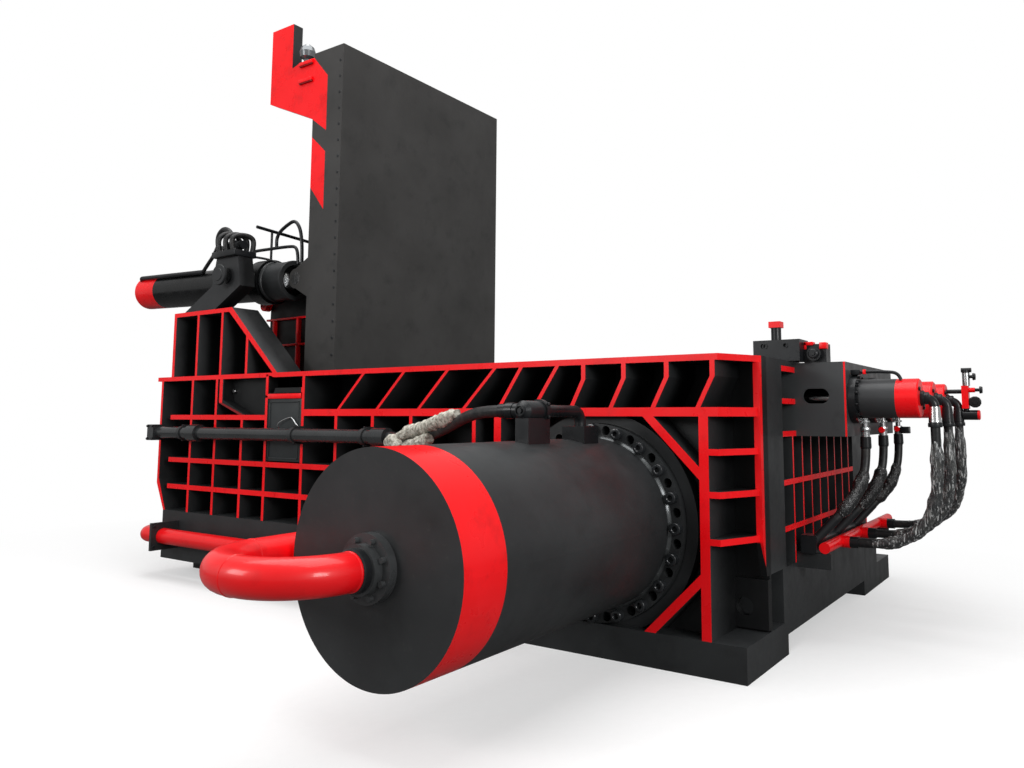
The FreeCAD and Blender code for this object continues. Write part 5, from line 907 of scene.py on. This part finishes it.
# the feed pipe again, with the two tighter bends of the real one
feedRoute = {
    "corners": [(0.0, -2.3399, 0.83), (0.0, -2.702, 0.83), (-0.65, -2.702, 0.83), (-0.724, -0.51, 0.83),
                (-0.724, -0.51, 0.68)],
    "bends": (0.322, 0.322, 0.175), "steps": 18, "radius": 0.0875, "sides": 12,
    "socket": [(0, 0.02), (0, 0.0875), (0.04, 0.0875), (0.1, 0.071), (0.1, 0.02)], "socketSides": 40,
    "weld": [(-0.012, 0.085), (-0.006, 0.0895), (0.006, 0.0895), (0.012, 0.085)], "weldSides": 48,
    "neck": [(0, 0.08), (0, 0.098), (0.034, 0.098), (0.04, 0.092), (0.04, 0.08)], "neckAt": (0, -2.3395, 0.83),
}


def filleted(corners, bends, steps):
    # a pipe's centre line through its corners, rounded off at each of them
    route = [Vector(corners[0])]
    for before, corner, after, bend in zip(corners, corners[1:], corners[2:], bends):
        corner = Vector(corner)
        toStart, toEnd = (Vector(before) - corner).normalized(), (Vector(after) - corner).normalized()
        half = toStart.angle(toEnd) / 2
        centre = corner + (toStart + toEnd).normalized() * bend / math.sin(half)
        first = corner + toStart * bend / math.tan(half)
        last = corner + toEnd * bend / math.tan(half)
        for step in range(steps + 1):
            arm = (first - centre).normalized().slerp((last - centre).normalized(), step / steps)
            route.append(centre + arm * (first - centre).length)
    return route + [Vector(corners[-1])]


steps = feedRoute["steps"]
route = filleted(feedRoute["corners"], feedRoute["bends"], steps)
shape = tubeShape(curveThrough("feed_pipe_run", route, feedRoute["radius"], feedRoute["sides"]))
lathe(shape, feedRoute["socket"], feedRoute["corners"][-1], (0, 0, -1), feedRoute["socketSides"], closed=True)
for place, heading in ((route[1], (0, -1, 0)), (route[steps + 2], (-1, 0, 0)),
                       (route[2 * steps + 2], (0.035, -1, 0))):
    lathe(shape, feedRoute["weld"], place, heading, feedRoute["weldSides"])
feedPipe = settle("feed_pipe_bends", shape, pipePaint, "frame")
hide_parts("feed_pipe")
shape = bmesh.new()
lathe(shape, feedRoute["neck"], feedRoute["neckAt"], (0, -1, 0), feedRoute["weldSides"], closed=True)
settle("port_neck", shape, blackGloss, "frame")
print("feed pipe")

wallBolts = [  # where along x, y and z, the way a head faces, its radius and height
    ((-4.445, -2.843, -2.01), (-0.435,), (1.272, 1.408), (0, -1, 0), 0.011, 0.012),  # pipe saddles
    ((-4.56, -3.01, -1.46), (-0.6,), (0.3, 0.48), (1, 0, 0), 0.014, 0.012),  # base pipe's brackets
    ((-4.59, -3.04, -1.49), (-0.6,), (0.3, 0.48), (-1, 0, 0), 0.014, 0.012),
    ((-4.915, -4.835), (-0.51,), (1.28, 1.4), (0, -1, 0), 0.012, 0.012),  # wall pipe's end
    ((-3.4, -3.2), (-0.06,), (1.67, 1.8), (0, -1, 0), 0.016, 0.014),  # hinge bearings, near and far
    ((-3.4, -3.2), (2.58,), (1.67, 1.8), (0, 1, 0), 0.016, 0.014),
]
shape = bmesh.new()
for alongX, alongY, alongZ, axis, radius, height in wallBolts:
    for x in alongX:
        for y in alongY:
            for z in alongZ:
                hexHead(shape, (x, y, z), axis, radius, height)
settle("wall_bolts", shape, blackGloss, "frame")
print("bolts on the walls")

# a matt pale floor that fades to white well away from the machine, and a white world behind it
studio = {"floorSize": 60, "middle": (-2, 1, 0), "floor": "#f7f7f7", "scuffed": "#fafafa", "bounce": "#747474",
          "scuffs": {"sizeMm": 60, "detail": 4, "low": 0.3, "high": 0.7},
          "centre": (-1.8, 0.9, 0), "oval": (0.72, 1, 0), "clearFrom": 3.0, "clearTo": 5.3, "lift": 0.45,
          "worldLight": 0.5, "worldSeen": 1.0}
mesh = bpy.data.meshes.new("floor")
shape = bmesh.new()
bmesh.ops.create_grid(shape, x_segments=1, y_segments=1, size=studio["floorSize"] / 2)
bmesh.ops.translate(shape, verts=shape.verts, vec=studio["middle"])
shape.to_mesh(mesh)
shape.free()
floor = bpy.data.objects.new("floor", mesh)
scene.collection.objects.link(floor)
# emulsion on screed: matt and near white, with faint scuffs; what it throws back is greyer
material, tree, position = freshMaterial("mattEmulsionFloor")
scuffs = patches(tree, position, **studio["scuffs"])
tone = addNode(tree, "ShaderNodeMix", {
    0: scuffs, 6: linear(studio["scuffed"]), 7: linear(studio["floor"])}, data_type="RGBA")
seen = addNode(tree, "ShaderNodeLightPath").outputs["Is Camera Ray"]
tone = addNode(tree, "ShaderNodeMix", {0: seen, 6: linear(studio["bounce"]), 7: tone}, data_type="RGBA")
matt = addNode(tree, "ShaderNodeBsdfDiffuse", {"Color": tone})
white = addNode(tree, "ShaderNodeEmission", {"Color": linear("#ffffff"), "Strength": 1.0})
offset = addNode(tree, "ShaderNodeVectorMath", {0: position, 1: studio["centre"]}, operation="SUBTRACT")
oval = addNode(tree, "ShaderNodeVectorMath", {0: offset, 1: studio["oval"]}, operation="MULTIPLY")
far = addNode(tree, "ShaderNodeVectorMath", {0: oval}, operation="LENGTH")
fade = addNode(tree, "ShaderNodeMapRange", {
    "Value": far, "From Min": studio["clearFrom"], "From Max": studio["clearTo"], "To Min": studio["lift"]})
share = addNode(tree, "ShaderNodeMath", {0: fade, 1: seen}, operation="MULTIPLY")
ground = addNode(tree, "ShaderNodeMixShader", {0: share, 1: matt, 2: white})
addNode(tree, "ShaderNodeOutputMaterial", {"Surface": ground})
mesh.materials.append(material)
floor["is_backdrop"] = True

world = bpy.data.worlds.new("studio")
world.use_nodes = True
scene.world = world
tree = world.node_tree
tree.nodes.clear()
seen = addNode(tree, "ShaderNodeLightPath").outputs["Is Camera Ray"]
plain = addNode(tree, "ShaderNodeBackground", {"Color": linear("#ffffff"), "Strength": studio["worldLight"]})
bright = addNode(tree, "ShaderNodeBackground", {"Color": linear("#ffffff"), "Strength": studio["worldSeen"]})
sky = addNode(tree, "ShaderNodeMixShader", {0: seen, 1: plain, 2: bright})
addNode(tree, "ShaderNodeOutputWorld", {"Surface": sky})

lamps = {  # where, what it faces, size in metres, watts
    "overhead": ((-1.5, -0.5, 9.5), (-1.5, 0.5, 0), (11, 7), 820),
    "keyLeft": ((-5.0, -9.5, 5.0), (-1.5, 0.0, 1.2), (4, 3), 380),
    "fillRight": ((8.5, -4.5, 4.0), (0.5, 0.5, 1.0), (3, 3), 430),
}
for name, (place, target, size, watts) in lamps.items():
    lamp = bpy.data.lights.new(name, "AREA")
    lamp.shape = "RECTANGLE"
    lamp.size, lamp.size_y = size
    lamp.energy = watts
    holder = bpy.data.objects.new(name, lamp)
    scene.collection.objects.link(holder)
    aim = (Vector(target) - Vector(place)).to_track_quat("-Z", "Y")
    holder.matrix_world = Matrix.Translation(place) @ aim.to_matrix().to_4x4()
scene.view_settings.view_transform = "Standard"
print("floor and lamps")

low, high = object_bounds()
